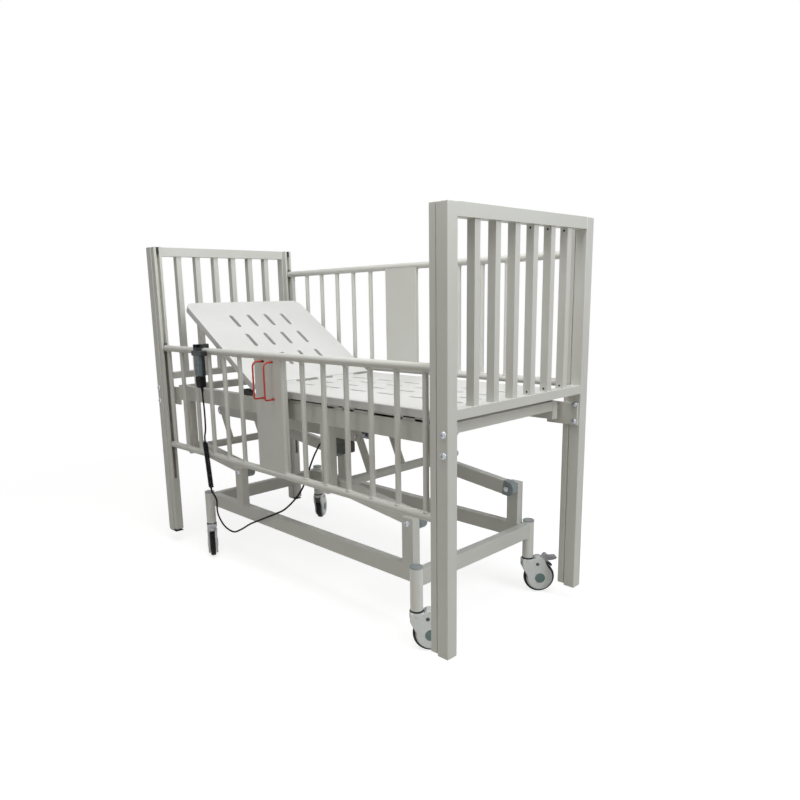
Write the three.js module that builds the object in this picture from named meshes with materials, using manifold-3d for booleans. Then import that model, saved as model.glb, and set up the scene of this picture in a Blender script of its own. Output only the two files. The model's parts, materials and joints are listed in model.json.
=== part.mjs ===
import * as THREE from 'three';
import { mergeVertices } from 'three/addons/utils/BufferGeometryUtils.js';
import Module from 'manifold-3d';

const wasm = await Module();
wasm.setup();

// A pediatric hospital cot in millimetres: +X towards the foot end, -Y the near side, +Z up,
// the floor at zero and the middle between the end frames at x = y = 0.

// Overall sizes
const LENGTH = 1500;
const WIDTH = 649;
const POST_TOP = 1180;
const POST_BOTTOM = 50;

// Clearances: still neighbours, turning pins, sliding guides, and the free room round a moving piece
const GAP = 0.3;
const RUN = 0.4;
const SLIDE = 0.6;
const ROOM = 3;
// How far a cutting shape runs past the face that it cuts
const PAST = 5;

// End posts: a square main tube with a narrower guide strip on the bed side
const POST_MAIN = 34;
const STRIP_DEPTH = 19;
const STRIP_WIDTH = 28;
const STRIP_LIFT = 6;
const CHANNEL_WIDTH = 12;
const CHANNEL_DEPTH = 15;
const CHANNEL_BOTTOM = 268;

// End grilles
const TOP_BAR_HEIGHT = 33;
const LOW_BAR_TOP = 697;
const LOW_BAR_HEIGHT = 25;
const SLAT_COUNT = 6;
const SLAT_WIDTH = 21;
const SLAT_DEPTH = 24;
const SLAT_ENTRY = 3;

// Guard rails
const RAIL_RAISED = 1081;
const RAIL_DROP = 284;
const RAIL_HEIGHT = 382;
const RAIL_TUBE_R = 12;
const RAIL_BAR_R = 8;
const RAIL_END_R = 8;
const RAIL_END_GAP = 7;
const RAIL_END_INSET = 25;
const RAIL_BARS = 5;
const STILE_X = 71;
const STILE_R = 7;
const PANEL_SHEET = 5.2;
const PANEL_COVER = 2;
const GUIDE_HEIGHT = 40;
const GUIDE_ENTRY = 4;

// Red wire latch handles
const LATCH_X = 30;
const LATCH_R = 3;
const LATCH_OUT = 42.5;
const LATCH_TOP_DROP = 18;
const LATCH_HEIGHT = 118;
const LATCH_TRAVEL = 12;
const LATCH_TOP_BEND = 14;
const LATCH_LOW_BEND = 6;

// Mattress deck
const DECK_TOP = 684;
const SHEET = 3;
const LIP = 23;
const DECK_INSET = 49.5;
const SEAT_FOOT_GAP = 11;
const HINGE_FROM_HEAD = 600;
const HINGE_DROP = 12;
const HINGE_SEAT_GAP = 14;
const HINGE_ROD_R = 5;
const BARREL_R = 10;
const BARREL_INNER_GAP = 8;
const BARREL_OUTER_GAP = 10;
const WEB_LOW = 1;
const WEB_HIGH = 9;
const BACK_LENGTH = 530;
const BACK_INSET = 7;
const BACK_CORNER = 34;
const BACK_ANGLE = 32.6;
const BACK_RAISE = 35;
const SLOT_LENGTH = 80;
const SLOT_WIDTH = 15;
const SLOT_ROW_PITCH = 127;
const SLOT_COLUMN_PITCH = 80;
const SLOT_COLUMNS = 4;
const BACK_SLOT_MARGIN = 133;
const SEAT_SLOT_MARGIN = 10;

// Deck frame
const SIDE_INSET = 58.5;
const SIDE_WIDTH = 26;
const SIDE_HEIGHT = 54;
const SIDE_DROP = 36;
const SIDE_END_GAP = 9;
const CROSS_HEIGHT = 28;
const CROSS_WIDTH = 28;
const CROSS_MID_WIDTH = 30;
const CROSS_MID_FROM_HINGE = 90;
const HANGER_WIDTH = 44;
const PAD_LENGTH = 28;
const PAD_INNER = 20;
const PAD_OUTER = 2;
const PAD_ROOT = 3;
const PADS_FROM_HINGE = [88, 419, 778.5];
const BRACKET_LENGTH = 46;
const BRACKET_ENTRY = 12;
const BRACKET_THICK = 7;
const BRACKET_DROP = 18;
const BRACKET_TOP_DROP = 4;
const BRACKET_END_GAP = 16;
const LUG_INNER = 66;
const LUG_SIDE_GAP = 30;
const LUG_THICK = 10;
const LUG_HALF = 8;
const BUFFER_FROM_HINGE = 63;
const BUFFER_LENGTH = 72;
const BUFFER_HEIGHT = 22;
const BUFFER_WIDTH = 18;
const BUFFER_SHIFT = 1;

// Lifting gear
const LIFT_FOOT_INSET = 197;
const LIFT_HEAD_INSET = 455;
const LOWER_PIVOT_Z = 357;
const ARM_LENGTH = 340;
const ARM_ANGLE = 6.9;
const ARM_R = 23;
const ARM_THICK = 28;
const ARM_SIDE_GAP = 8;
const TORSION_R = 15;
const JOURNAL_R = 11;
const JOURNAL_PROUD = 1;
const LEVER_LENGTH = 138;
const LEVER_LEAN = 25;
const LEVER_Y = 74;
const LEVER_THICK = 8;
const LEVER_R = 15;
const LEVER_PIN_R = 6;
const LEVER_PIN_PROUD = 2;
const SYNC_THICK = 8;
const SYNC_HEIGHT = 36;
const PIVOT_BOLT_R = 6;
const PIVOT_HEAD_R = 9.5;
const PIVOT_RIM = 2.5;
const PIVOT_CROWN = 3;
const PIVOT_CROWN_R = 4;
const PIVOT_NUT = 6.7;
const PIVOT_THREAD = 1;

// Actuators and control box
const ACTUATOR_Y = 34;
const ACTUATOR_R = 20;
const ACTUATOR_WALL = 12;
const HANGER_BLOCK_LENGTH = 24;
const HANGER_BLOCK_WIDTH = 20;
const ROD_R = 10;
const LIFT_BODY_REAR = 90;
const LIFT_ROD_REACH = 97.1;
const LIFT_ROD_REST = 40;
const LIFT_EYE_WIDTH = 18;
const EYE_WALL = 8;
const EYE_SIDE_PLAY = 3;
const BACK_LEVER = 110;
const BACK_LEVER_R = 9;
const BACK_LEVER_THICK = 8;
const BACK_FORK_HALF = 18;
const BACK_PIN_R = 5;
const BACK_ROD_RISE = 10;
const BACK_BODY_LENGTH = 252;
const BACK_ROD_REST = 80;
const BACK_EYE_WIDTH = 16;
const BACK_EYE_WALL = 7;
const BACK_EYE_SIDE = 6;
const BACK_EYE_PLAY = 4;
const LEVER_NOTCH = 44;
const BOX_LENGTH = 70;
const BOX_WIDTH = 64;
const BOX_HEIGHT = 62;
const BOX_CORNER = 6;
const GLAND_LENGTH = 14;
const GLAND_NUT = 7;
const GLAND_NUT_R = 7;
const GLAND_CAP_R = 5.5;
const GLAND_TIP_R = 4;
const GLAND_OFFSET = 6;

// Base
const BASE_TOP = 236;
const BASE_TUBE_HEIGHT = 46;
const BASE_TUBE_WIDTH = 28;
const UPRIGHT_ARM_GAP = 2;
const UPRIGHT_TOP = 374;
const UPRIGHT_WIDTH = 41;
const CASTER_FOOT_INSET = 157;
const CASTER_HEAD_INSET = 250;
const STEM_FROM_RAIL = 22;
const STEM_R = 18;
const STEM_TOP = 248;

// Casters
const WHEEL_R = 50;
const WHEEL_WIDTH = 20;
const WHEEL_SHOULDER = 4;
const WHEEL_SIDE_GAP = 1.5;
const WHEEL_TRAIL = 38;
const AXLE_R = 5;
const HOOD_SHOW = 6;
const HOOD_WIDTH = 36;
const HOOD_CUT = 8;
const SWIVEL_HEIGHT = 20;
const SWIVEL_PIN_R = 6;
const SWIVEL_PIN_LENGTH = 30;
const SWIVEL_PIN_ROOT = 10;
const NECK_HALF = 17;
const PEDAL_TRAIL = 48;
const PEDAL_RISE = 10;
const PEDAL_WIDTH = 22;
const PEDAL_EYE_R = 5;
const PEDAL_PIN_R = 2;
const PEDAL_REACH = 46;
const TURN_NEAR_HEAD = -30;
const TURN_FAR_HEAD = 126;
const TURN_FOOT = 47;

// Handset and cord
const HANDSET_FROM_HEAD = 358;
const HANDSET_WIDTH = 40;
const HANDSET_WAIST = 3;
const HANDSET_GRIP = 40;
const HANDSET_THICK = 23;
const HANDSET_HEIGHT = 117;
const HANDSET_DROP = 12;
const HANDSET_RAIL_GAP = 1.5;
const HANDSET_CORNER = 5;
const FLANGE_WIDTH = 68;
const FLANGE_HEIGHT = 15;
const FLANGE_PROUD = 1.5;
const HOOK_WIDTH = 22;
const HOOK_SHIFT = 12;
const HOOK_SET_BACK = 1;
const HOOK_TOP = 13;
const HOOK_LEG = 5;
const HOOK_BACK_GAP = 1;
const HOOK_ROOT = 4;
const BUTTON_SIZE = 12;
const BUTTON_PROUD = 1.6;
const BUTTON_POCKET = 6;
const BUTTON_PITCH_X = 20;
const BUTTON_PITCH_Z = 22;
const BUTTON_DROP = 26;
const RELIEF_OFFSET = 5;
const RELIEF_LENGTH = 18;
const RELIEF_R = 5.5;
const RELIEF_TIP_R = 3.6;
const CORD_R = 2.5;
const COIL_WIRE_R = 2.2;
const COIL_MEAN_R = 6.1;
const COIL_TURNS = 28;
const COIL_LENGTH = 184;
const COIL_LEAN = 21;
const COIL_SHIFT = 5;
const COIL_DROP = 175;

// Paint, plastic and rubber colours
const IVORY = 0xd8d6ce;
const DECK_WHITE = 0xe4e4df;
const RED = 0xc23a2a;
const SLATE = 0x3a4349;
const BLACK = 0x1d1e20;
const GREY_BLUE = 0x8d9aa4;
const HOOD_WHITE = 0xdcdad3;
const STEEL = 0x9a9c9e;

// Places that follow from the sizes
const radians = THREE.MathUtils.degToRad;
const endX = LENGTH / 2;
const mainX = endX - POST_MAIN;
const stripX = mainX - STRIP_DEPTH;
const postY = WIDTH / 2 - POST_MAIN / 2;
const postInner = postY - POST_MAIN / 2;
const hingeX = HINGE_FROM_HEAD - endX;
const hingeZ = DECK_TOP - HINGE_DROP;
const seatHeadX = hingeX + HINGE_SEAT_GAP;
const seatFootX = stripX - SEAT_FOOT_GAP;
const deckHalf = WIDTH / 2 - DECK_INSET;
const lipBottom = DECK_TOP - LIP;
const sideOuter = WIDTH / 2 - SIDE_INSET;
const sideInner = sideOuter - SIDE_WIDTH;
const sideTop = DECK_TOP - SIDE_DROP;
const sideBottom = sideTop - SIDE_HEIGHT;
const sideEndX = stripX - SIDE_END_GAP;
const crossBottom = sideTop - CROSS_HEIGHT;
const crossMidX = hingeX + CROSS_MID_FROM_HINGE;
const lugOuter = sideInner - LUG_SIDE_GAP - LUG_THICK;
const barrelFrom = LUG_INNER + LUG_THICK + BARREL_INNER_GAP;
const barrelTo = lugOuter - BARREL_OUTER_GAP;
const railEndX = stripX - RAIL_END_GAP;
const railUprightX = railEndX - RAIL_END_INSET;
const footPivotX = endX - LIFT_FOOT_INSET;
const headPivotX = LIFT_HEAD_INSET - endX;
const armOuter = sideInner - ARM_SIDE_GAP;
const armInner = armOuter - ARM_THICK;
const armRun = ARM_LENGTH * Math.cos(radians(ARM_ANGLE));
const upperPivotZ = LOWER_PIVOT_Z + ARM_LENGTH * Math.sin(radians(ARM_ANGLE));
const leverRise = LEVER_LENGTH * Math.cos(radians(LEVER_LEAN));
const leverRun = LEVER_LENGTH * Math.sin(radians(LEVER_LEAN));
const leverTopZ = upperPivotZ + leverRise;
const leverTopX = footPivotX - armRun - leverRun;
const backPinZ = hingeZ - BACK_LEVER;
const backRodZ = backPinZ + BACK_ROD_RISE;
const uprightInner = armOuter + UPRIGHT_ARM_GAP;
const uprightOuter = uprightInner + BASE_TUBE_WIDTH;
const baseBottom = BASE_TOP - BASE_TUBE_HEIGHT;
const casterY = uprightInner + BASE_TUBE_WIDTH / 2 + STEM_FROM_RAIL;
const casterFootX = endX - CASTER_FOOT_INSET;
const casterHeadX = CASTER_HEAD_INSET - endX;
const wheelTop = 2 * WHEEL_R;
const stemBottom = wheelTop + SWIVEL_HEIGHT;

const group = new THREE.Group();

function toSolid(geometry) {
  const plain = geometry.clone();
  plain.deleteAttribute('normal');
  plain.deleteAttribute('uv');
  const merged = mergeVertices(plain, 1e-4);
  return new wasm.Manifold(new wasm.Mesh({
    numProp: 3,
    vertProperties: new Float32Array(merged.attributes.position.array),
    triVerts: new Uint32Array(merged.index.array),
  }));
}

function toGeometry(solid) {
  const mesh = solid.getMesh();
  const geometry = new THREE.BufferGeometry();
  geometry.setAttribute('position', new THREE.BufferAttribute(new Float32Array(mesh.vertProperties), 3));
  geometry.setIndex(new THREE.BufferAttribute(new Uint32Array(mesh.triVerts), 1));
  return geometry;
}

function place(name, solid, color, roughness, metalness, matrix) {
  const geometry = toGeometry(solid);
  if (matrix) geometry.applyMatrix4(matrix);
  geometry.computeVertexNormals();
  const mesh = new THREE.Mesh(geometry, new THREE.MeshStandardMaterial({ color, roughness, metalness }));
  mesh.name = name;
  group.add(mesh);
}

function block(x0, x1, y0, y1, z0, z1) {
  const geometry = new THREE.BoxGeometry(Math.abs(x1 - x0), Math.abs(y1 - y0), Math.abs(z1 - z0));
  geometry.translate((x0 + x1) / 2, (y0 + y1) / 2, (z0 + z1) / 2);
  return toSolid(geometry);
}

function rod(from, to, radius, sides, endRadius = radius) {
  const a = new THREE.Vector3(...from);
  const b = new THREE.Vector3(...to);
  const along = b.clone().sub(a);
  const geometry = new THREE.CylinderGeometry(endRadius, radius, along.length(), sides);
  const turn = new THREE.Quaternion().setFromUnitVectors(new THREE.Vector3(0, 1, 0), along.normalize());
  geometry.applyQuaternion(turn);
  const middle = a.add(b).multiplyScalar(0.5);
  geometry.translate(middle.x, middle.y, middle.z);
  return toSolid(geometry);
}

// A rod along Y through a point of the XZ plane
function crossRod(x, z, y0, y1, radius, sides, endRadius) {
  return rod([x, y0, z], [x, y1, z], radius, sides, endRadius);
}

function outline(points) {
  return new THREE.Shape(points.map((p) => new THREE.Vector2(p[0], p[1])));
}

// A profile of (x, z) points carried along Y
function sideProfile(points, y0, y1) {
  const low = Math.min(y0, y1);
  const high = Math.max(y0, y1);
  const geometry = new THREE.ExtrudeGeometry(outline(points), { depth: high - low, bevelEnabled: false });
  geometry.rotateX(Math.PI / 2);
  geometry.translate(0, high, 0);
  return toSolid(geometry);
}

// A plan of (x, y) points carried along Z
function planProfile(points, z0, z1) {
  const geometry = new THREE.ExtrudeGeometry(outline(points), { depth: z1 - z0, bevelEnabled: false });
  geometry.translate(0, 0, z0);
  return toSolid(geometry);
}

function join(solids) {
  return solids.reduce((sum, next) => sum.add(next));
}

function cut(solid, tools) {
  return tools.reduce((rest, tool) => rest.subtract(tool), solid);
}

// A bar with round ends between two points of the XZ plane
function linkOutline(a, b, radius, steps) {
  const angle = Math.atan2(b[1] - a[1], b[0] - a[0]);
  const points = [];
  for (const [centre, start] of [[b, angle - Math.PI / 2], [a, angle + Math.PI / 2]]) {
    for (let i = 0; i <= steps; i += 1) {
      const t = start + (Math.PI * i) / steps;
      points.push([centre[0] + radius * Math.cos(t), centre[1] + radius * Math.sin(t)]);
    }
  }
  return points;
}

// A slot with clipped ends, its long way along X
function slotOutline(x, y) {
  const h = SLOT_LENGTH / 2;
  const w = SLOT_WIDTH / 2;
  const c = SLOT_WIDTH * 0.3;
  return [
    [x - h, y - w + c], [x - h + c, y - w], [x + h - c, y - w], [x + h, y - w + c],
    [x + h, y + w - c], [x + h - c, y + w], [x - h + c, y + w], [x - h, y + w - c],
  ];
}

function slotRow(x) {
  const slots = [];
  for (let i = 0; i < SLOT_COLUMNS; i += 1) {
    const y = (i - (SLOT_COLUMNS - 1) / 2) * SLOT_COLUMN_PITCH;
    slots.push(planProfile(slotOutline(x, y), DECK_TOP - SHEET - PAST, DECK_TOP + PAST));
  }
  return slots;
}

// Base: side rails with uprights, cross tubes with caster stems
const crossHalf = BASE_TUBE_WIDTH / 2;
const lowerPivots = [headPivotX, footPivotX];
const upperPivots = lowerPivots.map((x) => x - armRun);

function baseRail(side) {
  const y0 = side * uprightInner;
  const y1 = side * uprightOuter;
  const half = UPRIGHT_WIDTH / 2;
  const railHead = casterHeadX + crossHalf + GAP;
  const railFoot = casterFootX - crossHalf - GAP;
  const rail = block(railHead, railFoot, y0, y1, baseBottom, BASE_TOP);
  const uprights = lowerPivots.map((x) => block(x - half, x + half, y0, y1, BASE_TOP - PAST, UPRIGHT_TOP));
  const holes = lowerPivots.map((x) => crossRod(
    x, LOWER_PIVOT_Z, y0 - side * PAST, y1 + side * PAST, PIVOT_BOLT_R + RUN, 12,
  ));
  const y = side * casterY;
  const stemRooms = [casterHeadX, casterFootX].map((x) => rod(
    [x, y, stemBottom], [x, y, STEM_TOP + PAST], STEM_R + GAP, 16,
  ));
  return cut(join([rail, ...uprights]), [...holes, ...stemRooms]);
}

function baseCross(x) {
  const tube = block(x - crossHalf, x + crossHalf, -casterY, casterY, baseBottom, BASE_TOP);
  const ends = [-casterY, casterY];
  const stems = ends.map((y) => rod([x, y, stemBottom], [x, y, STEM_TOP], STEM_R, 16));
  const socketTop = stemBottom + SWIVEL_PIN_LENGTH + SLIDE;
  const sockets = ends.map((y) => rod([x, y, stemBottom - PAST], [x, y, socketTop], SWIVEL_PIN_R + RUN, 12));
  return cut(join([tube, ...stems]), sockets);
}

place('base_rail_near', baseRail(-1), IVORY, 0.45, 0.1);
place('base_rail_far', baseRail(1), IVORY, 0.45, 0.1);
place('base_cross_head', baseCross(casterHeadX), IVORY, 0.45, 0.1);
place('base_cross_foot', baseCross(casterFootX), IVORY, 0.45, 0.1);

// Casters, made trailing along +X about the swivel axis and then turned into place
const forkTop = stemBottom - GAP;
const hoodHalf = HOOD_WIDTH / 2;
const pedalHalf = PEDAL_WIDTH / 2;
const pedalZ = wheelTop + PEDAL_RISE;
const cheekInner = WHEEL_WIDTH / 2 + WHEEL_SIDE_GAP;

function casterFork() {
  const hood = crossRod(WHEEL_TRAIL, WHEEL_R, -hoodHalf, hoodHalf, WHEEL_R - HOOD_SHOW, 20);
  const neckPoints = [
    [-NECK_HALF, wheelTop - 16], [-4, WHEEL_R + 4], [WHEEL_TRAIL, WHEEL_R], [WHEEL_TRAIL + 16, wheelTop - 4],
    [WHEEL_TRAIL - 4, wheelTop + 13], [NECK_HALF, forkTop], [-NECK_HALF, forkTop],
  ];
  const neck = sideProfile(neckPoints, -hoodHalf, hoodHalf);
  const lugPoints = [
    [PEDAL_TRAIL - 12, pedalZ - 14], [PEDAL_TRAIL + 8, pedalZ - 18], [PEDAL_TRAIL + 7, pedalZ + 5],
    [PEDAL_TRAIL - 5, pedalZ + 6], [PEDAL_TRAIL - 14, pedalZ],
  ];
  const lugs = [-1, 1].map((side) => sideProfile(lugPoints, side * (pedalHalf + SLIDE), side * hoodHalf));
  const wheelRoom = crossRod(WHEEL_TRAIL, WHEEL_R, -cheekInner, cheekInner, WHEEL_R + ROOM, 20);
  const reach = WHEEL_TRAIL + wheelTop;
  const below = block(-reach, reach, -HOOD_WIDTH, HOOD_WIDTH, -PAST, HOOD_CUT);
  const pedalRoom = block(
    PEDAL_TRAIL - 2 * PEDAL_EYE_R, reach, -pedalHalf - SLIDE, pedalHalf + SLIDE,
    pedalZ - PEDAL_EYE_R - SLIDE, forkTop + PAST,
  );
  const shell = cut(join([hood, neck, ...lugs]), [wheelRoom, below, pedalRoom]);
  const axle = crossRod(WHEEL_TRAIL, WHEEL_R, -hoodHalf, hoodHalf, AXLE_R, 12);
  const pedalPin = crossRod(PEDAL_TRAIL, pedalZ, -hoodHalf, hoodHalf, PEDAL_PIN_R, 8);
  const pinTop = stemBottom + SWIVEL_PIN_LENGTH;
  const swivelPin = rod([0, 0, forkTop - SWIVEL_PIN_ROOT], [0, 0, pinTop], SWIVEL_PIN_R, 12);
  return join([shell, axle, pedalPin, swivelPin]);
}

function casterWheel() {
  const half = WHEEL_WIDTH / 2;
  const bore = AXLE_R + RUN;
  const profile = [
    [bore, -half], [WHEEL_R - WHEEL_SHOULDER, -half], [WHEEL_R, -half + WHEEL_SHOULDER],
    [WHEEL_R, half - WHEEL_SHOULDER], [WHEEL_R - WHEEL_SHOULDER, half], [bore, half], [bore, -half],
  ];
  const wheel = new THREE.LatheGeometry(profile.map((p) => new THREE.Vector2(p[0], p[1])), 18);
  wheel.translate(WHEEL_TRAIL, 0, WHEEL_R);
  return toSolid(wheel);
}

// The pedal: an eye on its pin and a plate that rises a little to its tip
function casterPedal() {
  const plate = [
    [-3, -1.8], [6, -3], [PEDAL_REACH - 5, 3], [PEDAL_REACH, 7],
    [PEDAL_REACH - 3, 11], [10, 6], [0, 4.5], [-4, 3],
  ];
  const arm = sideProfile(plate.map(([x, z]) => [PEDAL_TRAIL + x, pedalZ + z]), -pedalHalf, pedalHalf);
  const eye = crossRod(PEDAL_TRAIL, pedalZ, -pedalHalf, pedalHalf, PEDAL_EYE_R, 12);
  const hole = crossRod(PEDAL_TRAIL, pedalZ, -pedalHalf - PAST, pedalHalf + PAST, PEDAL_PIN_R + RUN, 10);
  return arm.add(eye).subtract(hole);
}

const casterPlaces = [
  ['near_head', casterHeadX, -casterY, TURN_NEAR_HEAD],
  ['far_head', casterHeadX, casterY, TURN_FAR_HEAD],
  ['near_foot', casterFootX, -casterY, TURN_FOOT],
  ['far_foot', casterFootX, casterY, TURN_FOOT],
];
for (const [name, x, y, degrees] of casterPlaces) {
  const turn = new THREE.Matrix4().makeRotationZ(radians(degrees));
  turn.setPosition(x, y, 0);
  place(`caster_${name}_fork`, casterFork(), HOOD_WHITE, 0.4, 0, turn);
  place(`caster_${name}_wheel`, casterWheel(), BLACK, 0.6, 0, turn);
  place(`caster_${name}_pedal`, casterPedal(), GREY_BLUE, 0.5, 0, turn);
}

// Lift frames: arms on the inner sides of the uprights, a torsion tube, levers and a cross pin
const leverOuter = LEVER_Y + LEVER_THICK / 2;
const leverInner = LEVER_Y - LEVER_THICK / 2;
const syncInner = leverOuter + SLIDE;
const syncOuter = syncInner + SYNC_THICK;

function liftFrame(pivotX) {
  const upX = pivotX - armRun;
  const topX = upX - leverRun;
  const up = [upX, upperPivotZ];
  const solids = [crossRod(...up, -armOuter, armOuter, TORSION_R, 14)];
  const holes = [];
  for (const side of [-1, 1]) {
    const root = side * (armOuter - PAST);
    const arm = linkOutline(up, [pivotX, LOWER_PIVOT_Z], ARM_R, 8);
    const lever = linkOutline(up, [topX, leverTopZ], LEVER_R, 6);
    solids.push(sideProfile(arm, side * armInner, side * armOuter));
    solids.push(sideProfile(lever, side * leverInner, side * leverOuter));
    solids.push(crossRod(...up, root, side * (sideInner - GAP), TORSION_R, 14));
    solids.push(crossRod(...up, root, side * (sideOuter + JOURNAL_PROUD), JOURNAL_R, 14));
    holes.push(crossRod(
      pivotX, LOWER_PIVOT_Z, side * (armInner - PAST), side * (armOuter + PAST), PIVOT_BOLT_R + RUN, 12,
    ));
  }
  const pinEnd = syncOuter + LEVER_PIN_PROUD;
  solids.push(crossRod(topX, leverTopZ, -pinEnd, pinEnd, LEVER_PIN_R, 12));
  return cut(join(solids), holes);
}

function pivotBolt(x, side) {
  const headBase = uprightOuter + GAP;
  const rimEnd = headBase + PIVOT_RIM;
  const nutEnd = armInner - GAP - PIVOT_NUT;
  const along = (y0, y1, radius, sides, endRadius) => crossRod(
    x, LOWER_PIVOT_Z, side * y0, side * y1, radius, sides, endRadius,
  );
  const shank = along(nutEnd - PIVOT_THREAD, rimEnd - GAP, PIVOT_BOLT_R, 12);
  const rim = along(headBase, rimEnd, PIVOT_HEAD_R, 12);
  const crown = along(rimEnd - GAP, rimEnd + PIVOT_CROWN, PIVOT_HEAD_R - PIVOT_THREAD, 12, PIVOT_CROWN_R);
  const nut = along(armInner - GAP, nutEnd, PIVOT_HEAD_R, 6);
  return join([shank, rim, crown, nut]);
}

for (const [name, x] of [['head', headPivotX], ['foot', footPivotX]]) {
  place(`lift_frame_${name}`, liftFrame(x), IVORY, 0.45, 0.1);
  place(`pivot_bolt_near_${name}`, pivotBolt(x, -1), STEEL, 0.35, 0.9);
  place(`pivot_bolt_far_${name}`, pivotBolt(x, 1), STEEL, 0.35, 0.9);
}

function syncBar(side) {
  const ends = lowerPivots.map((x) => [x - armRun - leverRun, leverTopZ]);
  const bar = sideProfile(linkOutline(...ends, SYNC_HEIGHT / 2, 6), side * syncInner, side * syncOuter);
  const holes = ends.map((end) => crossRod(
    ...end, side * (syncInner - PAST), side * (syncOuter + PAST), LEVER_PIN_R + RUN, 14,
  ));
  return cut(bar, holes);
}

place('sync_bar_near', syncBar(-1), IVORY, 0.5, 0.1);
place('sync_bar_far', syncBar(1), IVORY, 0.5, 0.1);

// Actuators: each body hangs from the middle cross member, each rod's slotted eye takes its lever's pin
const liftY = -ACTUATOR_Y;
const backY = ACTUATOR_Y;
const hangerBlockHead = crossMidX - HANGER_BLOCK_LENGTH / 2;
const hangerBlockFoot = crossMidX + HANGER_BLOCK_LENGTH / 2;

function actuatorBody(headX, footX, y, z, openHead) {
  const half = HANGER_BLOCK_WIDTH / 2;
  const tube = rod([headX, y, z], [footX, y, z], ACTUATOR_R, 14);
  const hanger = block(hangerBlockHead, hangerBlockFoot, y - half, y + half, z, crossBottom - GAP);
  const boreFrom = openHead ? headX - PAST : headX + ACTUATOR_WALL;
  const boreTo = openHead ? footX - ACTUATOR_WALL : footX + PAST;
  return tube.add(hanger).subtract(rod([boreFrom, y, z], [boreTo, y, z], ROD_R + RUN, 12));
}

const liftBodyHead = crossMidX - LIFT_BODY_REAR;
const liftBodyFoot = leverTopX - LIFT_ROD_REACH;
const liftBody = actuatorBody(liftBodyHead, liftBodyFoot, liftY, leverTopZ, false);
place('lift_actuator_body', liftBody, SLATE, 0.5, 0.1);

const pinRise = LEVER_LENGTH - leverRise;
const eyeLow = leverTopZ - LEVER_PIN_R - SLIDE;
const eyeHigh = leverTopZ + pinRise + LEVER_PIN_R + SLIDE;
const eyeHalf = LEVER_PIN_R + EYE_SIDE_PLAY;
const eyeOuter = eyeHalf + EYE_WALL;
const liftShaftEnd = leverTopX - eyeHalf - EYE_WALL / 2;
const liftShaft = rod(
  [liftBodyHead + LIFT_ROD_REST, liftY, leverTopZ], [liftShaftEnd, liftY, leverTopZ], ROD_R, 12,
);
const liftEye = block(
  leverTopX - eyeOuter, leverTopX + eyeOuter, liftY - LIFT_EYE_WIDTH / 2, liftY + LIFT_EYE_WIDTH / 2,
  eyeLow - EYE_WALL, eyeHigh + EYE_WALL,
);
const liftEyeSlot = block(
  leverTopX - eyeHalf, leverTopX + eyeHalf, liftY - LIFT_EYE_WIDTH, liftY + LIFT_EYE_WIDTH, eyeLow, eyeHigh,
);
place('lift_actuator_rod', liftShaft.add(liftEye).subtract(liftEyeSlot), STEEL, 0.3, 0.9);

const backBodyFoot = hangerBlockHead + BACK_BODY_LENGTH;
const backBody = actuatorBody(hangerBlockHead, backBodyFoot, backY, backRodZ, true);
place('backrest_actuator_body', backBody, SLATE, 0.5, 0.1);

const backEyeLow = backPinZ - BACK_PIN_R - SLIDE;
const backEyeHigh = backPinZ + BACK_LEVER * (1 - Math.cos(radians(BACK_RAISE))) + BACK_PIN_R + SLIDE;
const backEyeHalf = BACK_PIN_R + BACK_EYE_PLAY;
const backEyeOuter = backEyeHalf + BACK_EYE_SIDE;
const backShaft = rod(
  [hingeX + backEyeHalf + 1, backY, backRodZ], [backBodyFoot - BACK_ROD_REST, backY, backRodZ], ROD_R, 12,
);
const backEye = block(
  hingeX - backEyeOuter, hingeX + backEyeOuter, backY - BACK_EYE_WIDTH / 2, backY + BACK_EYE_WIDTH / 2,
  backEyeLow - BACK_EYE_WALL, backEyeHigh + BACK_EYE_WALL,
);
const backEyeSlot = block(
  hingeX - backEyeHalf, hingeX + backEyeHalf, backY - BACK_EYE_WIDTH, backY + BACK_EYE_WIDTH,
  backEyeLow, backEyeHigh,
);
place('backrest_actuator_rod', backShaft.add(backEye).subtract(backEyeSlot), STEEL, 0.3, 0.9);

// Control box under the lift actuator, with a gland for the cord
const boxFoot = liftBodyFoot;
const boxHead = boxFoot - BOX_LENGTH;
const boxTop = leverTopZ - ACTUATOR_R - GAP;
const boxBottom = boxTop - BOX_HEIGHT;
const boxNear = liftY - BOX_WIDTH / 2;
const boxFar = liftY + BOX_WIDTH / 2;
const boxPlan = [
  [boxHead, boxNear + BOX_CORNER], [boxHead + BOX_CORNER, boxNear],
  [boxFoot - BOX_CORNER, boxNear], [boxFoot, boxNear + BOX_CORNER],
  [boxFoot, boxFar - BOX_CORNER], [boxFoot - BOX_CORNER, boxFar],
  [boxHead + BOX_CORNER, boxFar], [boxHead, boxFar - BOX_CORNER],
];
place('control_box', planProfile(boxPlan, boxBottom, boxTop), SLATE, 0.5, 0);

const glandY = liftY - GLAND_OFFSET;
const glandZ = (boxBottom + boxTop) / 2;
const glandEndX = boxHead - GLAND_LENGTH;
const glandNut = rod([boxHead - GAP, glandY, glandZ], [boxHead - GLAND_NUT, glandY, glandZ], GLAND_NUT_R, 6);
const capRoot = boxHead - GLAND_NUT + SLIDE;
const glandCap = rod([capRoot, glandY, glandZ], [glandEndX, glandY, glandZ], GLAND_CAP_R, 10, GLAND_TIP_R);
place('control_gland', glandNut.add(glandCap), BLACK, 0.6, 0);

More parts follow.
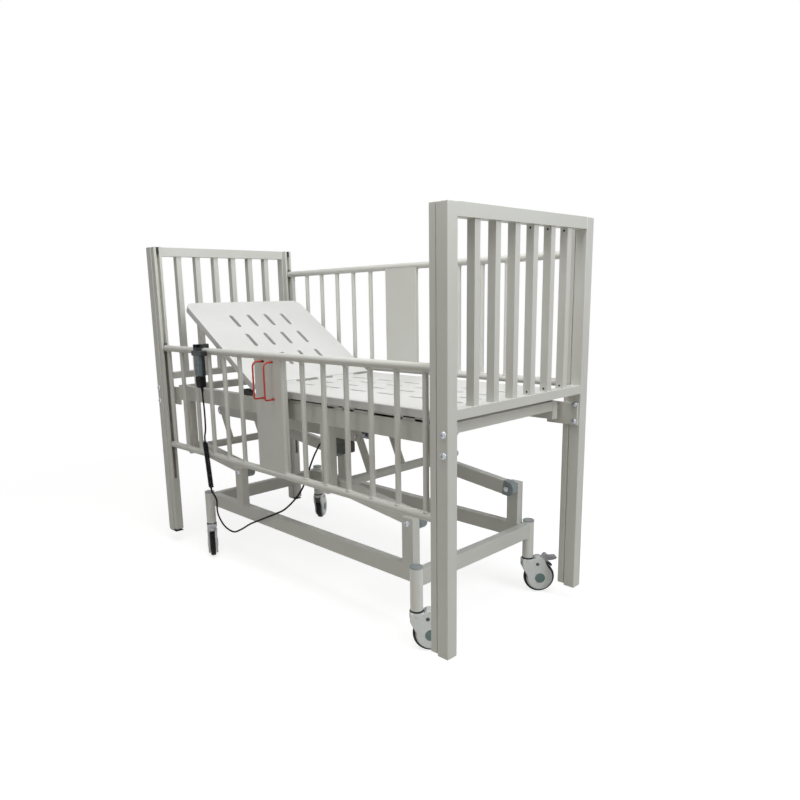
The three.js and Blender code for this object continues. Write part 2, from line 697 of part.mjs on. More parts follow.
// Deck frame: side members with hangers, end brackets and seat pads
function deckSide(side) {
  const y = (distance) => side * distance;
  const solids = [block(-sideEndX, sideEndX, y(sideInner), y(sideOuter), sideBottom, sideTop)];
  for (const x of upperPivots) {
    const hanger = linkOutline([x, upperPivotZ], [x, sideBottom + 2], HANGER_WIDTH / 2, 8);
    solids.push(sideProfile(hanger, y(sideInner), y(sideOuter)));
  }
  const bores = upperPivots.map((x) => crossRod(
    x, upperPivotZ, y(sideInner - PAST), y(sideOuter + PAST), JOURNAL_R + RUN, 14,
  ));
  const plateOuter = postInner - GAP;
  const plateTop = sideTop - BRACKET_TOP_DROP;
  for (const end of [-1, 1]) {
    const x0 = end * (sideEndX - BRACKET_LENGTH);
    const x1 = end * (endX - POST_MAIN / 2 + BRACKET_ENTRY);
    const x2 = end * (sideEndX - BRACKET_END_GAP);
    const plateInner = plateOuter - BRACKET_THICK;
    solids.push(block(x0, x1, y(plateInner), y(plateOuter), sideBottom - BRACKET_DROP, plateTop));
    solids.push(block(x0, x2, y(sideOuter - BRACKET_TOP_DROP), y(plateOuter), sideBottom, plateTop));
  }
  const padTop = DECK_TOP - SHEET - GAP;
  for (const distance of PADS_FROM_HINGE) {
    const x0 = hingeX + distance - PAD_LENGTH / 2;
    const y0 = y(sideOuter - PAD_INNER);
    solids.push(block(x0, x0 + PAD_LENGTH, y0, y(sideOuter - PAD_OUTER), sideTop - PAD_ROOT, padTop));
  }
  return cut(join(solids), bores);
}

place('deck_side_near', deckSide(-1), IVORY, 0.45, 0.1);
place('deck_side_far', deckSide(1), IVORY, 0.45, 0.1);

const crossEnd = sideInner - GAP;
for (const [name, end] of [['head', -1], ['foot', 1]]) {
  const outer = end * sideEndX;
  const inner = end * (sideEndX - CROSS_WIDTH);
  const tube = block(inner, outer, -crossEnd, crossEnd, crossBottom, sideTop);
  place(`deck_cross_${name}`, tube, IVORY, 0.45, 0.1);
}

// Middle cross member with lugs that carry the backrest's hinge rod
const midHalf = CROSS_MID_WIDTH / 2;
const lugPoints = [
  [crossMidX + 10, sideTop - 1], [crossMidX - 14, sideTop - 1], [seatHeadX - 4, lipBottom - 4],
  [seatHeadX - 4, hingeZ + LUG_HALF], [hingeX - LUG_HALF, hingeZ + LUG_HALF],
  [hingeX - LUG_HALF - 1, lipBottom - 12],
  [crossMidX - 10, crossBottom + 4], [crossMidX + 10, crossBottom + 4],
];
const lugs = [-1, 1].flatMap((side) => [LUG_INNER, lugOuter].map(
  (y) => sideProfile(lugPoints, side * y, side * (y + LUG_THICK)),
));
const rodEnd = lugOuter + LUG_THICK;
const midTube = block(crossMidX - midHalf, crossMidX + midHalf, -crossEnd, crossEnd, crossBottom, sideTop);
const hingeRod = crossRod(hingeX, hingeZ, -rodEnd, rodEnd, HINGE_ROD_R, 12);
place('deck_cross_mid', join([midTube, ...lugs, hingeRod]), IVORY, 0.45, 0.1);

// Rubber buffers: an arched block on each side member under the backrest
for (const [name, side] of [['near', -1], ['far', 1]]) {
  const arch = [];
  for (let i = 0; i <= 8; i += 1) {
    const t = (Math.PI * i) / 8;
    const x = hingeX - BUFFER_FROM_HINGE + (BUFFER_LENGTH / 2) * Math.cos(t);
    arch.push([x, sideTop + GAP + BUFFER_HEIGHT * Math.sin(t)]);
  }
  const y = side * (sideOuter - SIDE_WIDTH / 2 + BUFFER_SHIFT);
  place(`buffer_${name}`, sideProfile(arch, y - BUFFER_WIDTH / 2, y + BUFFER_WIDTH / 2), BLACK, 0.8, 0);
}

// Seat panel: a pressed tray with rows of slots and a notch that the backrest lever swings through
const tray = block(seatHeadX, seatFootX, -deckHalf, deckHalf, lipBottom, DECK_TOP);
const trayInside = block(
  seatHeadX + SHEET, seatFootX - SHEET, -deckHalf + SHEET, deckHalf - SHEET,
  lipBottom - PAST, DECK_TOP - SHEET,
);
const seatRows = Math.floor((seatFootX - seatHeadX - 2 * SEAT_SLOT_MARGIN) / SLOT_ROW_PITCH);
const seatFirst = (seatHeadX + seatFootX) / 2 - ((seatRows - 1) * SLOT_ROW_PITCH) / 2;
const seatSlots = [];
for (let row = 0; row < seatRows; row += 1) {
  seatSlots.push(...slotRow(seatFirst + row * SLOT_ROW_PITCH));
}
const leverNotch = block(
  seatHeadX - PAST, seatHeadX + SHEET + 1, backY - LEVER_NOTCH / 2, backY + LEVER_NOTCH / 2,
  lipBottom - PAST, hingeZ,
);
place('seat_panel', cut(tray, [trayInside, ...seatSlots, leverNotch]), DECK_WHITE, 0.4, 0.1);

// Backrest, made lying flat and then turned up about its hinge rod
const backRootX = hingeX - HINGE_SEAT_GAP;
const backEndX = hingeX - BACK_LENGTH;

function backOutline(margin) {
  const y = deckHalf - BACK_INSET - margin;
  const x1 = backEndX + margin;
  const r = BACK_CORNER - margin;
  const points = [[backRootX - margin, -y], [backRootX - margin, y]];
  for (const [side, start] of [[1, Math.PI / 2], [-1, Math.PI]]) {
    for (let i = 0; i <= 4; i += 1) {
      const t = start + (Math.PI / 2) * (i / 4);
      points.push([x1 + r + r * Math.cos(t), side * (y - r) + r * Math.sin(t)]);
    }
  }
  return points;
}

function backrest() {
  const shell = planProfile(backOutline(0), lipBottom, DECK_TOP);
  const tools = [planProfile(backOutline(SHEET), lipBottom - LIP, DECK_TOP - SHEET)];
  const rows = Math.floor((BACK_LENGTH - BACK_SLOT_MARGIN / 2) / SLOT_ROW_PITCH);
  for (let row = 0; row < rows; row += 1) {
    tools.push(...slotRow(backEndX + BACK_SLOT_MARGIN + row * SLOT_ROW_PITCH));
  }
  const solids = [cut(shell, tools)];
  const hub = BACK_FORK_HALF + 2;
  for (const [y0, y1] of [[-barrelTo, -barrelFrom], [barrelFrom, barrelTo], [backY - hub, backY + hub]]) {
    solids.push(crossRod(hingeX, hingeZ, y0, y1, BARREL_R, 12));
    solids.push(block(backRootX - SHEET + 1, hingeX, y0, y1, hingeZ + WEB_LOW, hingeZ + WEB_HIGH));
  }
  const angle = radians(BACK_ANGLE);
  const pin = [hingeX + BACK_LEVER * Math.sin(angle), hingeZ - BACK_LEVER * Math.cos(angle)];
  const lever = linkOutline([hingeX, hingeZ], pin, BACK_LEVER_R, 6);
  const plateInner = BACK_FORK_HALF - BACK_LEVER_THICK;
  solids.push(sideProfile(lever, backY - BACK_FORK_HALF, backY - plateInner));
  solids.push(sideProfile(lever, backY + plateInner, backY + BACK_FORK_HALF));
  solids.push(crossRod(...pin, backY - BACK_FORK_HALF, backY + BACK_FORK_HALF, BACK_PIN_R, 10));
  return join(solids).subtract(crossRod(hingeX, hingeZ, -deckHalf, deckHalf, HINGE_ROD_R + RUN, 12));
}

const raise = new THREE.Matrix4().makeTranslation(hingeX, 0, hingeZ);
raise.multiply(new THREE.Matrix4().makeRotationY(radians(BACK_ANGLE)));
raise.multiply(new THREE.Matrix4().makeTranslation(-hingeX, 0, -hingeZ));
place('backrest_panel', backrest(), DECK_WHITE, 0.4, 0.1, raise);

// End posts with guide channels, and the welded end grilles
function post(end, side) {
  const y = side * postY;
  const mainHalf = POST_MAIN / 2;
  const stripHalf = STRIP_WIDTH / 2;
  const slotHalf = CHANNEL_WIDTH / 2;
  const main = block(end * mainX, end * endX, y - mainHalf, y + mainHalf, POST_BOTTOM, POST_TOP);
  const stripRoot = mainX + PAST;
  const stripFoot = POST_BOTTOM + STRIP_LIFT;
  const strip = block(end * stripX, end * stripRoot, y - stripHalf, y + stripHalf, stripFoot, POST_TOP);
  const channel = block(
    end * (stripX - PAST), end * (stripX + CHANNEL_DEPTH), y - slotHalf, y + slotHalf,
    CHANNEL_BOTTOM, POST_TOP + PAST,
  );
  return main.add(strip).subtract(channel);
}

function grille(end) {
  const half = postInner - GAP;
  const middle = end * (endX - POST_MAIN / 2);
  const bar = (z0, z1) => block(middle - POST_MAIN / 2, middle + POST_MAIN / 2, -half, half, z0, z1);
  const solids = [bar(POST_TOP - TOP_BAR_HEIGHT, POST_TOP), bar(LOW_BAR_TOP - LOW_BAR_HEIGHT, LOW_BAR_TOP)];
  const pitch = (2 * half) / (SLAT_COUNT + 1);
  const slatX = SLAT_DEPTH / 2;
  const slatY = SLAT_WIDTH / 2;
  const slatLow = LOW_BAR_TOP - SLAT_ENTRY;
  const slatTop = POST_TOP - TOP_BAR_HEIGHT + SLAT_ENTRY;
  for (let i = 1; i <= SLAT_COUNT; i += 1) {
    const y = -half + i * pitch;
    solids.push(block(middle - slatX, middle + slatX, y - slatY, y + slatY, slatLow, slatTop));
  }
  return join(solids);
}

for (const [endName, end] of [['head', -1], ['foot', 1]]) {
  place(`post_near_${endName}`, post(end, -1), IVORY, 0.45, 0.1);
  place(`post_far_${endName}`, post(end, 1), IVORY, 0.45, 0.1);
  place(`grille_${endName}`, grille(end), IVORY, 0.45, 0.1);
}

// Guard rails: round tubes and bars, a box panel in the middle with a flat cover on the bed side,
// pockets in the panel for the handles' rear legs, guides that run in the channels
const panelHalf = LATCH_R + GAP + PANEL_SHEET;

function guardRail(side, topZ) {
  const y = side * postY;
  const lowZ = topZ - RAIL_HEIGHT;
  const guideY = CHANNEL_WIDTH / 2 - SLIDE;
  const guideEnd = stripX + CHANNEL_DEPTH - SLIDE;
  const upright = (x, radius, sides) => rod([x, y, lowZ], [x, y, topZ], radius, sides);
  const pitch = (railUprightX - STILE_X) / (RAIL_BARS + 1);
  const coverX = STILE_X + STILE_R;
  const coverY = y - side * (panelHalf + PANEL_COVER);
  const solids = [
    block(-STILE_X, STILE_X, y - panelHalf, y + panelHalf, lowZ, topZ),
    block(-coverX, coverX, y - side * (panelHalf - PANEL_SHEET), coverY, lowZ, topZ),
  ];
  const holes = [];
  for (const z of [topZ, lowZ]) {
    solids.push(rod([-railEndX, y, z], [railEndX, y, z], RAIL_TUBE_R, 12));
  }
  for (const end of [-1, 1]) {
    for (const z of [topZ, lowZ]) {
      const x0 = end * (railEndX - GUIDE_ENTRY);
      const half = GUIDE_HEIGHT / 2;
      solids.push(block(x0, end * guideEnd, y - guideY, y + guideY, z - half, z + half));
    }
    solids.push(upright(end * railUprightX, RAIL_END_R, 10));
    solids.push(upright(end * STILE_X, STILE_R, 10));
    for (let i = 1; i <= RAIL_BARS; i += 1) {
      solids.push(upright(end * (railUprightX - i * pitch), RAIL_BAR_R, 8));
    }
    const latchTop = topZ - LATCH_TOP_DROP;
    const latchLow = latchTop - LATCH_HEIGHT;
    const outX = end * (LATCH_X + LATCH_R + SLIDE);
    const inX = end * (LATCH_X - LATCH_TRAVEL - LATCH_R - SLIDE);
    const half = LATCH_R + SLIDE;
    const pocketY = LATCH_R + GAP;
    holes.push(block(inX, outX, y - pocketY, y + pocketY, latchLow - half, latchTop + half));
    for (const z of [latchTop, latchLow]) {
      holes.push(block(inX, outX, y, y + side * (panelHalf + PAST), z - half, z + half));
    }
  }
  return cut(join(solids), holes);
}

// A closed loop of wire in a plane across X: its corners, (y, z) points, are mitred
function wireLoop(x, corners, radius, sides) {
  const positions = [];
  const triangles = [];
  const count = corners.length;
  corners.forEach((corner, i) => {
    const here = new THREE.Vector2(...corner);
    const arrive = here.clone().sub(new THREE.Vector2(...corners[(i + count - 1) % count])).normalize();
    const leave = new THREE.Vector2(...corners[(i + 1) % count]).sub(here).normalize();
    const lean = arrive.clone().add(leave).divideScalar(1 + arrive.dot(leave));
    for (let k = 0; k < sides; k += 1) {
      const t = (2 * Math.PI * k) / sides;
      const reach = radius * Math.sin(t);
      positions.push(x + radius * Math.cos(t), here.x - lean.y * reach, here.y + lean.x * reach);
      const next = (k + 1) % sides;
      const ring = i * sides;
      const following = ((i + 1) % count) * sides;
      triangles.push(ring + k, following + k, following + next);
      triangles.push(ring + k, following + next, ring + next);
    }
  });
  const geometry = new THREE.BufferGeometry();
  geometry.setAttribute('position', new THREE.BufferAttribute(new Float32Array(positions), 3));
  geometry.setIndex(triangles);
  return toSolid(geometry);
}

// A latch handle: a closed loop of wire through two slots of the panel, its rear leg inside
function latch(side, end, topZ) {
  const x = end * LATCH_X;
  const highZ = topZ - LATCH_TOP_DROP;
  const lowZ = highZ - LATCH_HEIGHT;
  const frontY = side * (postY + LATCH_OUT);
  const rearY = side * postY;
  const corners = [
    [rearY, lowZ], [frontY - side * LATCH_LOW_BEND, lowZ], [frontY, lowZ + LATCH_LOW_BEND],
    [frontY, highZ - LATCH_TOP_BEND], [frontY - side * LATCH_TOP_BEND, highZ], [rearY, highZ],
  ];
  return wireLoop(x, corners, LATCH_R, 8);
}

const nearTopZ = RAIL_RAISED - RAIL_DROP;
for (const [name, side, topZ] of [['near', -1, nearTopZ], ['far', 1, RAIL_RAISED]]) {
  place(`guard_rail_${name}`, guardRail(side, topZ), IVORY, 0.4, 0.1);
  place(`latch_${name}_head`, latch(side, -1, topZ), RED, 0.4, 0);
  place(`latch_${name}_foot`, latch(side, 1, topZ), RED, 0.4, 0);
}

// Handset with a flange, hung by its hook on the near guard rail's top tube
const handsetX = HANDSET_FROM_HEAD - endX;
const handsetBack = -postY - RAIL_TUBE_R - HANDSET_RAIL_GAP;
const handsetFront = handsetBack - HANDSET_THICK;
const handsetTop = nearTopZ - HANDSET_DROP;
const handsetBottom = handsetTop - HANDSET_HEIGHT;

// Half of the body's outline as (distance from the middle, height), rounded above and narrower below
const handsetHalf = HANDSET_WIDTH / 2;
const gripHalf = handsetHalf - HANDSET_WAIST;
const gripTop = handsetBottom + HANDSET_GRIP;
const handsetSide = [
  [gripHalf - 6, handsetBottom], [gripHalf - 1, handsetBottom + 6], [gripHalf, gripTop],
  [handsetHalf, gripTop + 6], [handsetHalf, handsetTop - HANDSET_CORNER],
  [handsetHalf - HANDSET_CORNER, handsetTop],
];
const handsetOutline = [
  ...handsetSide.map(([x, z]) => [handsetX + x, z]),
  ...handsetSide.toReversed().map(([x, z]) => [handsetX - x, z]),
];
const flangeHead = handsetX - FLANGE_WIDTH / 2;
const flangeFoot = handsetX + FLANGE_WIDTH / 2;
const flangeFront = handsetFront - FLANGE_PROUD;
const flangeTop = handsetTop + FLANGE_HEIGHT;
const hookHead = handsetX - HOOK_SHIFT - HOOK_WIDTH / 2;
const hookFoot = hookHead + HOOK_WIDTH;
const hookFront = handsetFront + HOOK_SET_BACK;
const hookBack = -postY + RAIL_TUBE_R + HOOK_BACK_GAP;
const hookLow = nearTopZ + RAIL_TUBE_R + GAP;
const hookHigh = hookLow + HOOK_TOP;

const buttonSpots = [];
for (const row of [0, 1]) {
  for (const column of [-0.5, 0.5]) {
    buttonSpots.push([handsetX + column * BUTTON_PITCH_X, handsetTop - BUTTON_DROP - row * BUTTON_PITCH_Z]);
  }
}

function button(x, z, grow, y0, y1) {
  const half = BUTTON_SIZE / 2 + grow;
  return block(x - half, x + half, y0, y1, z - half, z + half);
}

const pocketFloor = handsetFront + BUTTON_POCKET;
const handset = join([
  sideProfile(handsetOutline, handsetFront, handsetBack),
  block(flangeHead, flangeFoot, flangeFront, handsetBack, handsetTop - HOOK_ROOT, flangeTop),
  block(hookHead, hookFoot, hookFront, handsetBack, handsetTop - HOOK_ROOT, hookHigh),
  block(hookHead, hookFoot, hookFront, hookBack + HOOK_LEG, hookLow, hookHigh),
  block(hookHead, hookFoot, hookBack, hookBack + HOOK_LEG, nearTopZ - HOOK_TOP, hookHigh),
]);
const pockets = buttonSpots.map(([x, z]) => button(x, z, RUN, handsetFront - PAST, pocketFloor));
place('handset_body', cut(handset, pockets), SLATE, 0.5, 0);
buttonSpots.forEach(([x, z], i) => {
  const cap = button(x, z, 0, handsetFront - BUTTON_PROUD, pocketFloor - BUTTON_PROUD - GAP);
  place(`handset_button_${i + 1}`, cap, GREY_BLUE, 0.5, 0);
});

const reliefX = handsetX + RELIEF_OFFSET;
const reliefY = (handsetFront + handsetBack) / 2;
const reliefTop = handsetBottom - GAP;
const reliefEnd = reliefTop - RELIEF_LENGTH;
const relief = rod([reliefX, reliefY, reliefEnd], [reliefX, reliefY, reliefTop], RELIEF_TIP_R, 10, RELIEF_R);
place('handset_relief', relief, BLACK, 0.7, 0);

// Cord: a straight stretch, a curly stretch and a hanging stretch that ends in the control box
function roundSection(radius, sides) {
  const points = [];
  for (let i = 0; i < sides; i += 1) {
    const t = (2 * Math.PI * i) / sides;
    points.push([radius * Math.cos(t), radius * Math.sin(t)]);
  }
  return outline(points);
}

function tubeAlong(points, radius, sides, steps) {
  const curve = new THREE.CatmullRomCurve3(points.map((p) => new THREE.Vector3(...p)), false, 'centripetal');
  curve.arcLengthDivisions = 2000;
  const options = { steps, bevelEnabled: false, extrudePath: curve };
  return toSolid(new THREE.ExtrudeGeometry(roundSection(radius, sides), options));
}

const coilX = reliefX - COIL_SHIFT;
const coilY = reliefY - 1;
const coilTop = reliefEnd - COIL_DROP;
const coilEndX = coilX + COIL_LEAN;
const coilEnd = coilTop - COIL_LENGTH;

const upperRoute = [
  [reliefX, reliefY, reliefEnd - GAP],
  [reliefX, reliefY, reliefEnd - 14],
  [reliefX + 8, reliefY - 1, reliefEnd - 50],
  [reliefX + 13, reliefY - 2, reliefEnd - 95],
  [reliefX + 8, reliefY - 1.5, reliefEnd - 138],
  [coilX, coilY, coilTop + 14],
  [coilX, coilY, coilTop + GAP],
];
place('cord_upper', tubeAlong(upperRoute, CORD_R, 8, 14), BLACK, 0.7, 0);

// Curls about a slightly leaning axis, with straight ends on the axis
const coilLead = 2 * COIL_WIRE_R + 2;
const coilSteps = COIL_TURNS * 8;
const coilRoute = [[coilX, coilY, coilTop], [coilX, coilY, coilTop - coilLead * 0.75]];
for (let i = 0; i <= coilSteps; i += 1) {
  const share = i / coilSteps;
  const turn = (2 * Math.PI * i) / 8;
  const r = COIL_MEAN_R * Math.min(1, i / 6, (coilSteps - i) / 6);
  const x = coilX + COIL_LEAN * share + r * Math.cos(turn);
  const z = coilTop - coilLead - (COIL_LENGTH - 2 * coilLead) * share;
  coilRoute.push([x, coilY + r * Math.sin(turn), z]);
}
coilRoute.push([coilEndX, coilY, coilEnd + coilLead * 0.25], [coilEndX, coilY, coilEnd]);
place('cord_coil', tubeAlong(coilRoute, COIL_WIRE_R, 5, coilSteps + 12), BLACK, 0.7, 0);

// Least gap of the curls to each other, from points more than half a turn apart along the route
let coilGap = Infinity;
const coilPoints = coilRoute.map((p) => new THREE.Vector3(...p));
for (let i = 0; i < coilPoints.length; i += 1) {
  for (let j = i + 5; j < coilPoints.length; j += 1) {
    coilGap = Math.min(coilGap, coilPoints[i].distanceTo(coilPoints[j]) - 2 * COIL_WIRE_R);
  }
}
console.log(`least gap between curls ${coilGap.toFixed(2)} mm`);

const lowerRoute = [
  [coilEndX, coilY, coilEnd - GAP],
  [coilEndX, coilY, coilEnd - 6],
  [coilEndX + 11, -327, coilEnd - 18],
  [coilEndX + 19, -323, coilEnd - 38],
  [coilEndX + 13, -320, coilEnd - 64],
  [coilEndX + 4, -316, 196],
  [coilEndX + 12, -308, 165],
  [coilEndX + 31, -301, 144],
  [-301, -294, 135],
  [-259, -290, 152],
  [-198, -287, 187],
  [-140, -286, 214],
  [-88, -284, 238],
  [-40, -282, 260],
  [5, -277, 284],
  [40, -255, 325],
  [46, -232, 354],
  [22, -190, 388],
  [-14, -140, 420],
  [-44, -95, 444],
  [-54, -60, glandZ - 2],
  [glandEndX - 16, glandY, glandZ],
  [glandEndX - GAP, glandY, glandZ],
];
place('cord_lower', tubeAlong(lowerRoute, CORD_R, 8, 52), BLACK, 0.7, 0);

export default group;
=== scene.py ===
import json
import math

import bmesh
import bpy
from mathutils import Matrix, Vector


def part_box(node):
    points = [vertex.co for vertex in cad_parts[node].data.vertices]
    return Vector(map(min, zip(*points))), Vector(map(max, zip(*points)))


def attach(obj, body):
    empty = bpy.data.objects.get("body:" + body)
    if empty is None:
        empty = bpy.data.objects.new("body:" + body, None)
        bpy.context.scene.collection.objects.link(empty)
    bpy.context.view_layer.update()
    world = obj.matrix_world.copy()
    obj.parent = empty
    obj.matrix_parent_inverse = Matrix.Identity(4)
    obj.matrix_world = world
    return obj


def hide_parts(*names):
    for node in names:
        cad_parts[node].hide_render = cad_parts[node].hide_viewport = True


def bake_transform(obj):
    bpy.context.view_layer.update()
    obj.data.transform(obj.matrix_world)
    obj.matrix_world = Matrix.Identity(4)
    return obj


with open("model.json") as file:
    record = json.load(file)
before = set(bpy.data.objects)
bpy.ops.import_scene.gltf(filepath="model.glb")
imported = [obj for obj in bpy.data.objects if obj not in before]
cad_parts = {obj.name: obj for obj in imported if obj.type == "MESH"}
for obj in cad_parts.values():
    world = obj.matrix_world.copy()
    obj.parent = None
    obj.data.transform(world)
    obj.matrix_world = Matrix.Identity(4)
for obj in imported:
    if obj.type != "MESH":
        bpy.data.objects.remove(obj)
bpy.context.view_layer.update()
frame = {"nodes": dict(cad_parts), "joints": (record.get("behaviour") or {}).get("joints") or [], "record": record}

# The cot's looks, in metres: +X towards the foot end, -Y the near side, +Z up from the floor.
MM = 0.001
Z = Vector((0, 0, 1))

record = frame["record"]
body_of = {node: body for body, nodes in record["behaviour"]["bodies"].items() for node in nodes}
joints = {joint["name"]: joint for joint in frame["joints"]}


# Camera, fitted to the corners of the four posts
IMAGE_SIZE = 800
CENTRE_PIXEL = (366.2, 434.3)
FOCAL_PIXELS = 673.55
CAMERA_PLACE = Vector((1.7755, -1.5437, 0.9652))
CAMERA_AZIMUTH = math.radians(47.094)
CAMERA_DROP = math.radians(11.335)
CAMERA_ROLL = math.radians(-1.412)


def make_camera():
    data = bpy.data.cameras.new("camera")
    data.sensor_width = 36
    data.lens = data.sensor_width * FOCAL_PIXELS / IMAGE_SIZE
    data.shift_x = (IMAGE_SIZE / 2 - CENTRE_PIXEL[0]) / IMAGE_SIZE
    data.shift_y = (CENTRE_PIXEL[1] - IMAGE_SIZE / 2) / IMAGE_SIZE
    level = math.cos(CAMERA_DROP)
    forward = Vector((-math.sin(CAMERA_AZIMUTH) * level, math.cos(CAMERA_AZIMUTH) * level, -math.sin(CAMERA_DROP)))
    right = forward.cross(Z).normalized()
    up = right.cross(forward)
    turned_right = right * math.cos(CAMERA_ROLL) + up * math.sin(CAMERA_ROLL)
    turned_up = up * math.cos(CAMERA_ROLL) - right * math.sin(CAMERA_ROLL)
    camera = bpy.data.objects.new("camera", data)
    camera.matrix_world = Matrix.Translation(CAMERA_PLACE) @ Matrix(
        (turned_right, turned_up, -forward)
    ).transposed().to_4x4()
    bpy.context.scene.collection.objects.link(camera)
    bpy.context.scene.camera = camera


make_camera()


# Materials
def linear(hex_colour):
    """A colour written as six hex digits, as linear red, green, blue and alpha."""
    parts = [int(hex_colour[i:i + 2], 16) / 255 for i in (0, 2, 4)]
    return (*[p / 12.92 if p <= 0.04045 else ((p + 0.055) / 1.055) ** 2.4 for p in parts], 1)


class Look:
    """A node material under construction, and the record's slot that it stands for."""

    def __init__(self, name, slot, roughness, metallic=0.0, specular=0.5):
        self.slot = slot
        self.material = bpy.data.materials.new(name)
        self.material.use_nodes = True
        self.tree = self.material.node_tree
        self.shader = self.tree.nodes["Principled BSDF"]
        self.shader.inputs["Roughness"].default_value = roughness
        self.shader.inputs["Metallic"].default_value = metallic
        self.shader.inputs["Specular IOR Level"].default_value = specular
        self.place = self.add("ShaderNodeTexCoord").outputs["Object"]
        self.height = None

    def add(self, kind, **settings):
        node = self.tree.nodes.new(kind)
        for key, value in settings.items():
            setattr(node, key, value)
        return node

    def link(self, source, target):
        self.tree.links.new(source, target)

    def noise(self, scale, detail=3.0, stretch=None):
        """Noise over the surface, scale in features per metre, optionally stretched along the axes."""
        node = self.add("ShaderNodeTexNoise")
        node.inputs["Scale"].default_value = scale
        node.inputs["Detail"].default_value = detail
        source = self.place
        if stretch:
            mapping = self.add("ShaderNodeMapping")
            mapping.inputs["Scale"].default_value = stretch
            self.link(self.place, mapping.inputs["Vector"])
            source = mapping.outputs["Vector"]
        self.link(source, node.inputs["Vector"])
        return node.outputs["Fac"]

    def cells(self, scale):
        node = self.add("ShaderNodeTexVoronoi")
        node.inputs["Scale"].default_value = scale
        self.link(self.place, node.inputs["Vector"])
        return node.outputs["Distance"]

    def remap(self, source, low, high, to_low, to_high):
        node = self.add("ShaderNodeMapRange")
        node.clamp = True
        for key, value in zip(("From Min", "From Max", "To Min", "To Max"), (low, high, to_low, to_high)):
            node.inputs[key].default_value = value
        self.link(source, node.inputs["Value"])
        return node.outputs["Result"]

    def mixed(self, share, first, second):
        """Two colours mixed by a share; each is a colour or a socket."""
        node = self.add("ShaderNodeMix", data_type="RGBA")
        self.link(share, node.inputs["Factor"])
        for socket, colour in ((node.inputs[6], first), (node.inputs[7], second)):
            if isinstance(colour, tuple):
                socket.default_value = colour
            else:
                self.link(colour, socket)
        return node.outputs[2]

    def colour(self, source):
        self.link(source, self.shader.inputs["Base Color"])

    def roughness(self, source, low, high):
        self.link(self.remap(source, 0.3, 0.7, low, high), self.shader.inputs["Roughness"])

    def bump(self, source, depth, strength=1.0):
        """Adds relief of a depth in metres."""
        node = self.add("ShaderNodeBump")
        node.inputs["Strength"].default_value = strength
        node.inputs["Distance"].default_value = depth
        self.link(source, node.inputs["Height"])
        if self.height:
            self.link(self.height, node.inputs["Normal"])
        self.height = node.outputs["Normal"]
        self.link(self.height, self.shader.inputs["Normal"])


def paint(name, slot, colour, shade, roughness):
    """Powder coat: a faint drift of tone, dusty patches, orange peel and tiny specks."""
    look = Look(name, slot, roughness)
    drift = look.remap(look.noise(5, 4), 0.35, 0.7, 0, 0.55)
    tone = look.mixed(drift, linear(colour), linear(shade))
    specks = look.remap(look.noise(420, 1), 0.70, 0.78, 0, 0.35)
    look.colour(look.mixed(specks, tone, linear(shade)))
    look.roughness(look.noise(28, 4), roughness - 0.06, roughness + 0.09)
    look.bump(look.noise(650, 2), 0.00012, 0.5)
    look.bump(look.noise(60, 2), 0.00025, 0.35)
    return look


def moulded(name, slot, colour, shade, roughness, grain=1400, depth=0.00008):
    """Moulded plastic: spark-eroded grain, slight flow tone and handling polish."""
    look = Look(name, slot, roughness)
    flow = look.remap(look.noise(22, 3), 0.35, 0.68, 0, 0.7)
    look.colour(look.mixed(flow, linear(colour), linear(shade)))
    look.roughness(look.noise(45, 3), roughness - 0.08, roughness + 0.10)
    look.bump(look.cells(grain), depth, 0.6)
    return look


def rubber(name, slot, colour, shade, roughness):
    """Rubber: matt, with dusty bloom and a fine grain."""
    look = Look(name, slot, roughness, specular=0.22)
    bloom = look.remap(look.noise(34, 5), 0.42, 0.75, 0, 0.8)
    look.colour(look.mixed(bloom, linear(colour), linear(shade)))
    look.roughness(look.noise(70, 3), roughness - 0.08, roughness + 0.12)
    look.bump(look.noise(900, 3), 0.0001, 0.6)
    return look


def metal(name, slot, colour, shade, roughness, stretch):
    """Bright metal with fine drawn lines and a cloudy plating."""
    look = Look(name, slot, roughness, metallic=1.0)
    cloud = look.remap(look.noise(55, 4), 0.35, 0.7, 0, 1)
    look.colour(look.mixed(cloud, linear(colour), linear(shade)))
    lines = look.noise(300, 2, stretch)
    look.roughness(lines, roughness - 0.08, roughness + 0.12)
    look.bump(lines, 0.00003, 0.5)
    return look


IVORY = paint("ivory_powder_coat", "ivory_paint", "dbdcd7", "d3d3cc", 0.42)
DECK = paint("deck_powder_coat", "deck_paint", "e2e3e2", "d8d8d5", 0.44)
# A lighter copy of the ivory paint for the caster stems: painted light
STEM_PAINTED_LIGHT = paint("stem_powder_coat_painted_light", "ivory_paint", "f1f2ee", "e8e9e4", 0.36)
RED = moulded("red_vinyl_wire", "red_wire", "c8402a", "a92a1c", 0.34, 900, 0.00005)
HOOD = moulded("hood_plastic", "hood_plastic", "f2f6f6", "e8ecec", 0.32)
GREY = moulded("grey_blue_plastic", "grey_plastic", "929c9f", "838d91", 0.44)
CAP = moulded("stem_cap_plastic", "grey_plastic", "a9b1b2", "9aa3a5", 0.42)
PEDAL = moulded("pedal_plastic", "grey_plastic", "c6c7cf", "b6b7c0", 0.40)
BUTTON = moulded("button_plastic", "grey_plastic", "76838a", "69767d", 0.40)
GUIDE = moulded("guide_plastic", "grey_plastic", "6e6f6a", "62635e", 0.5)
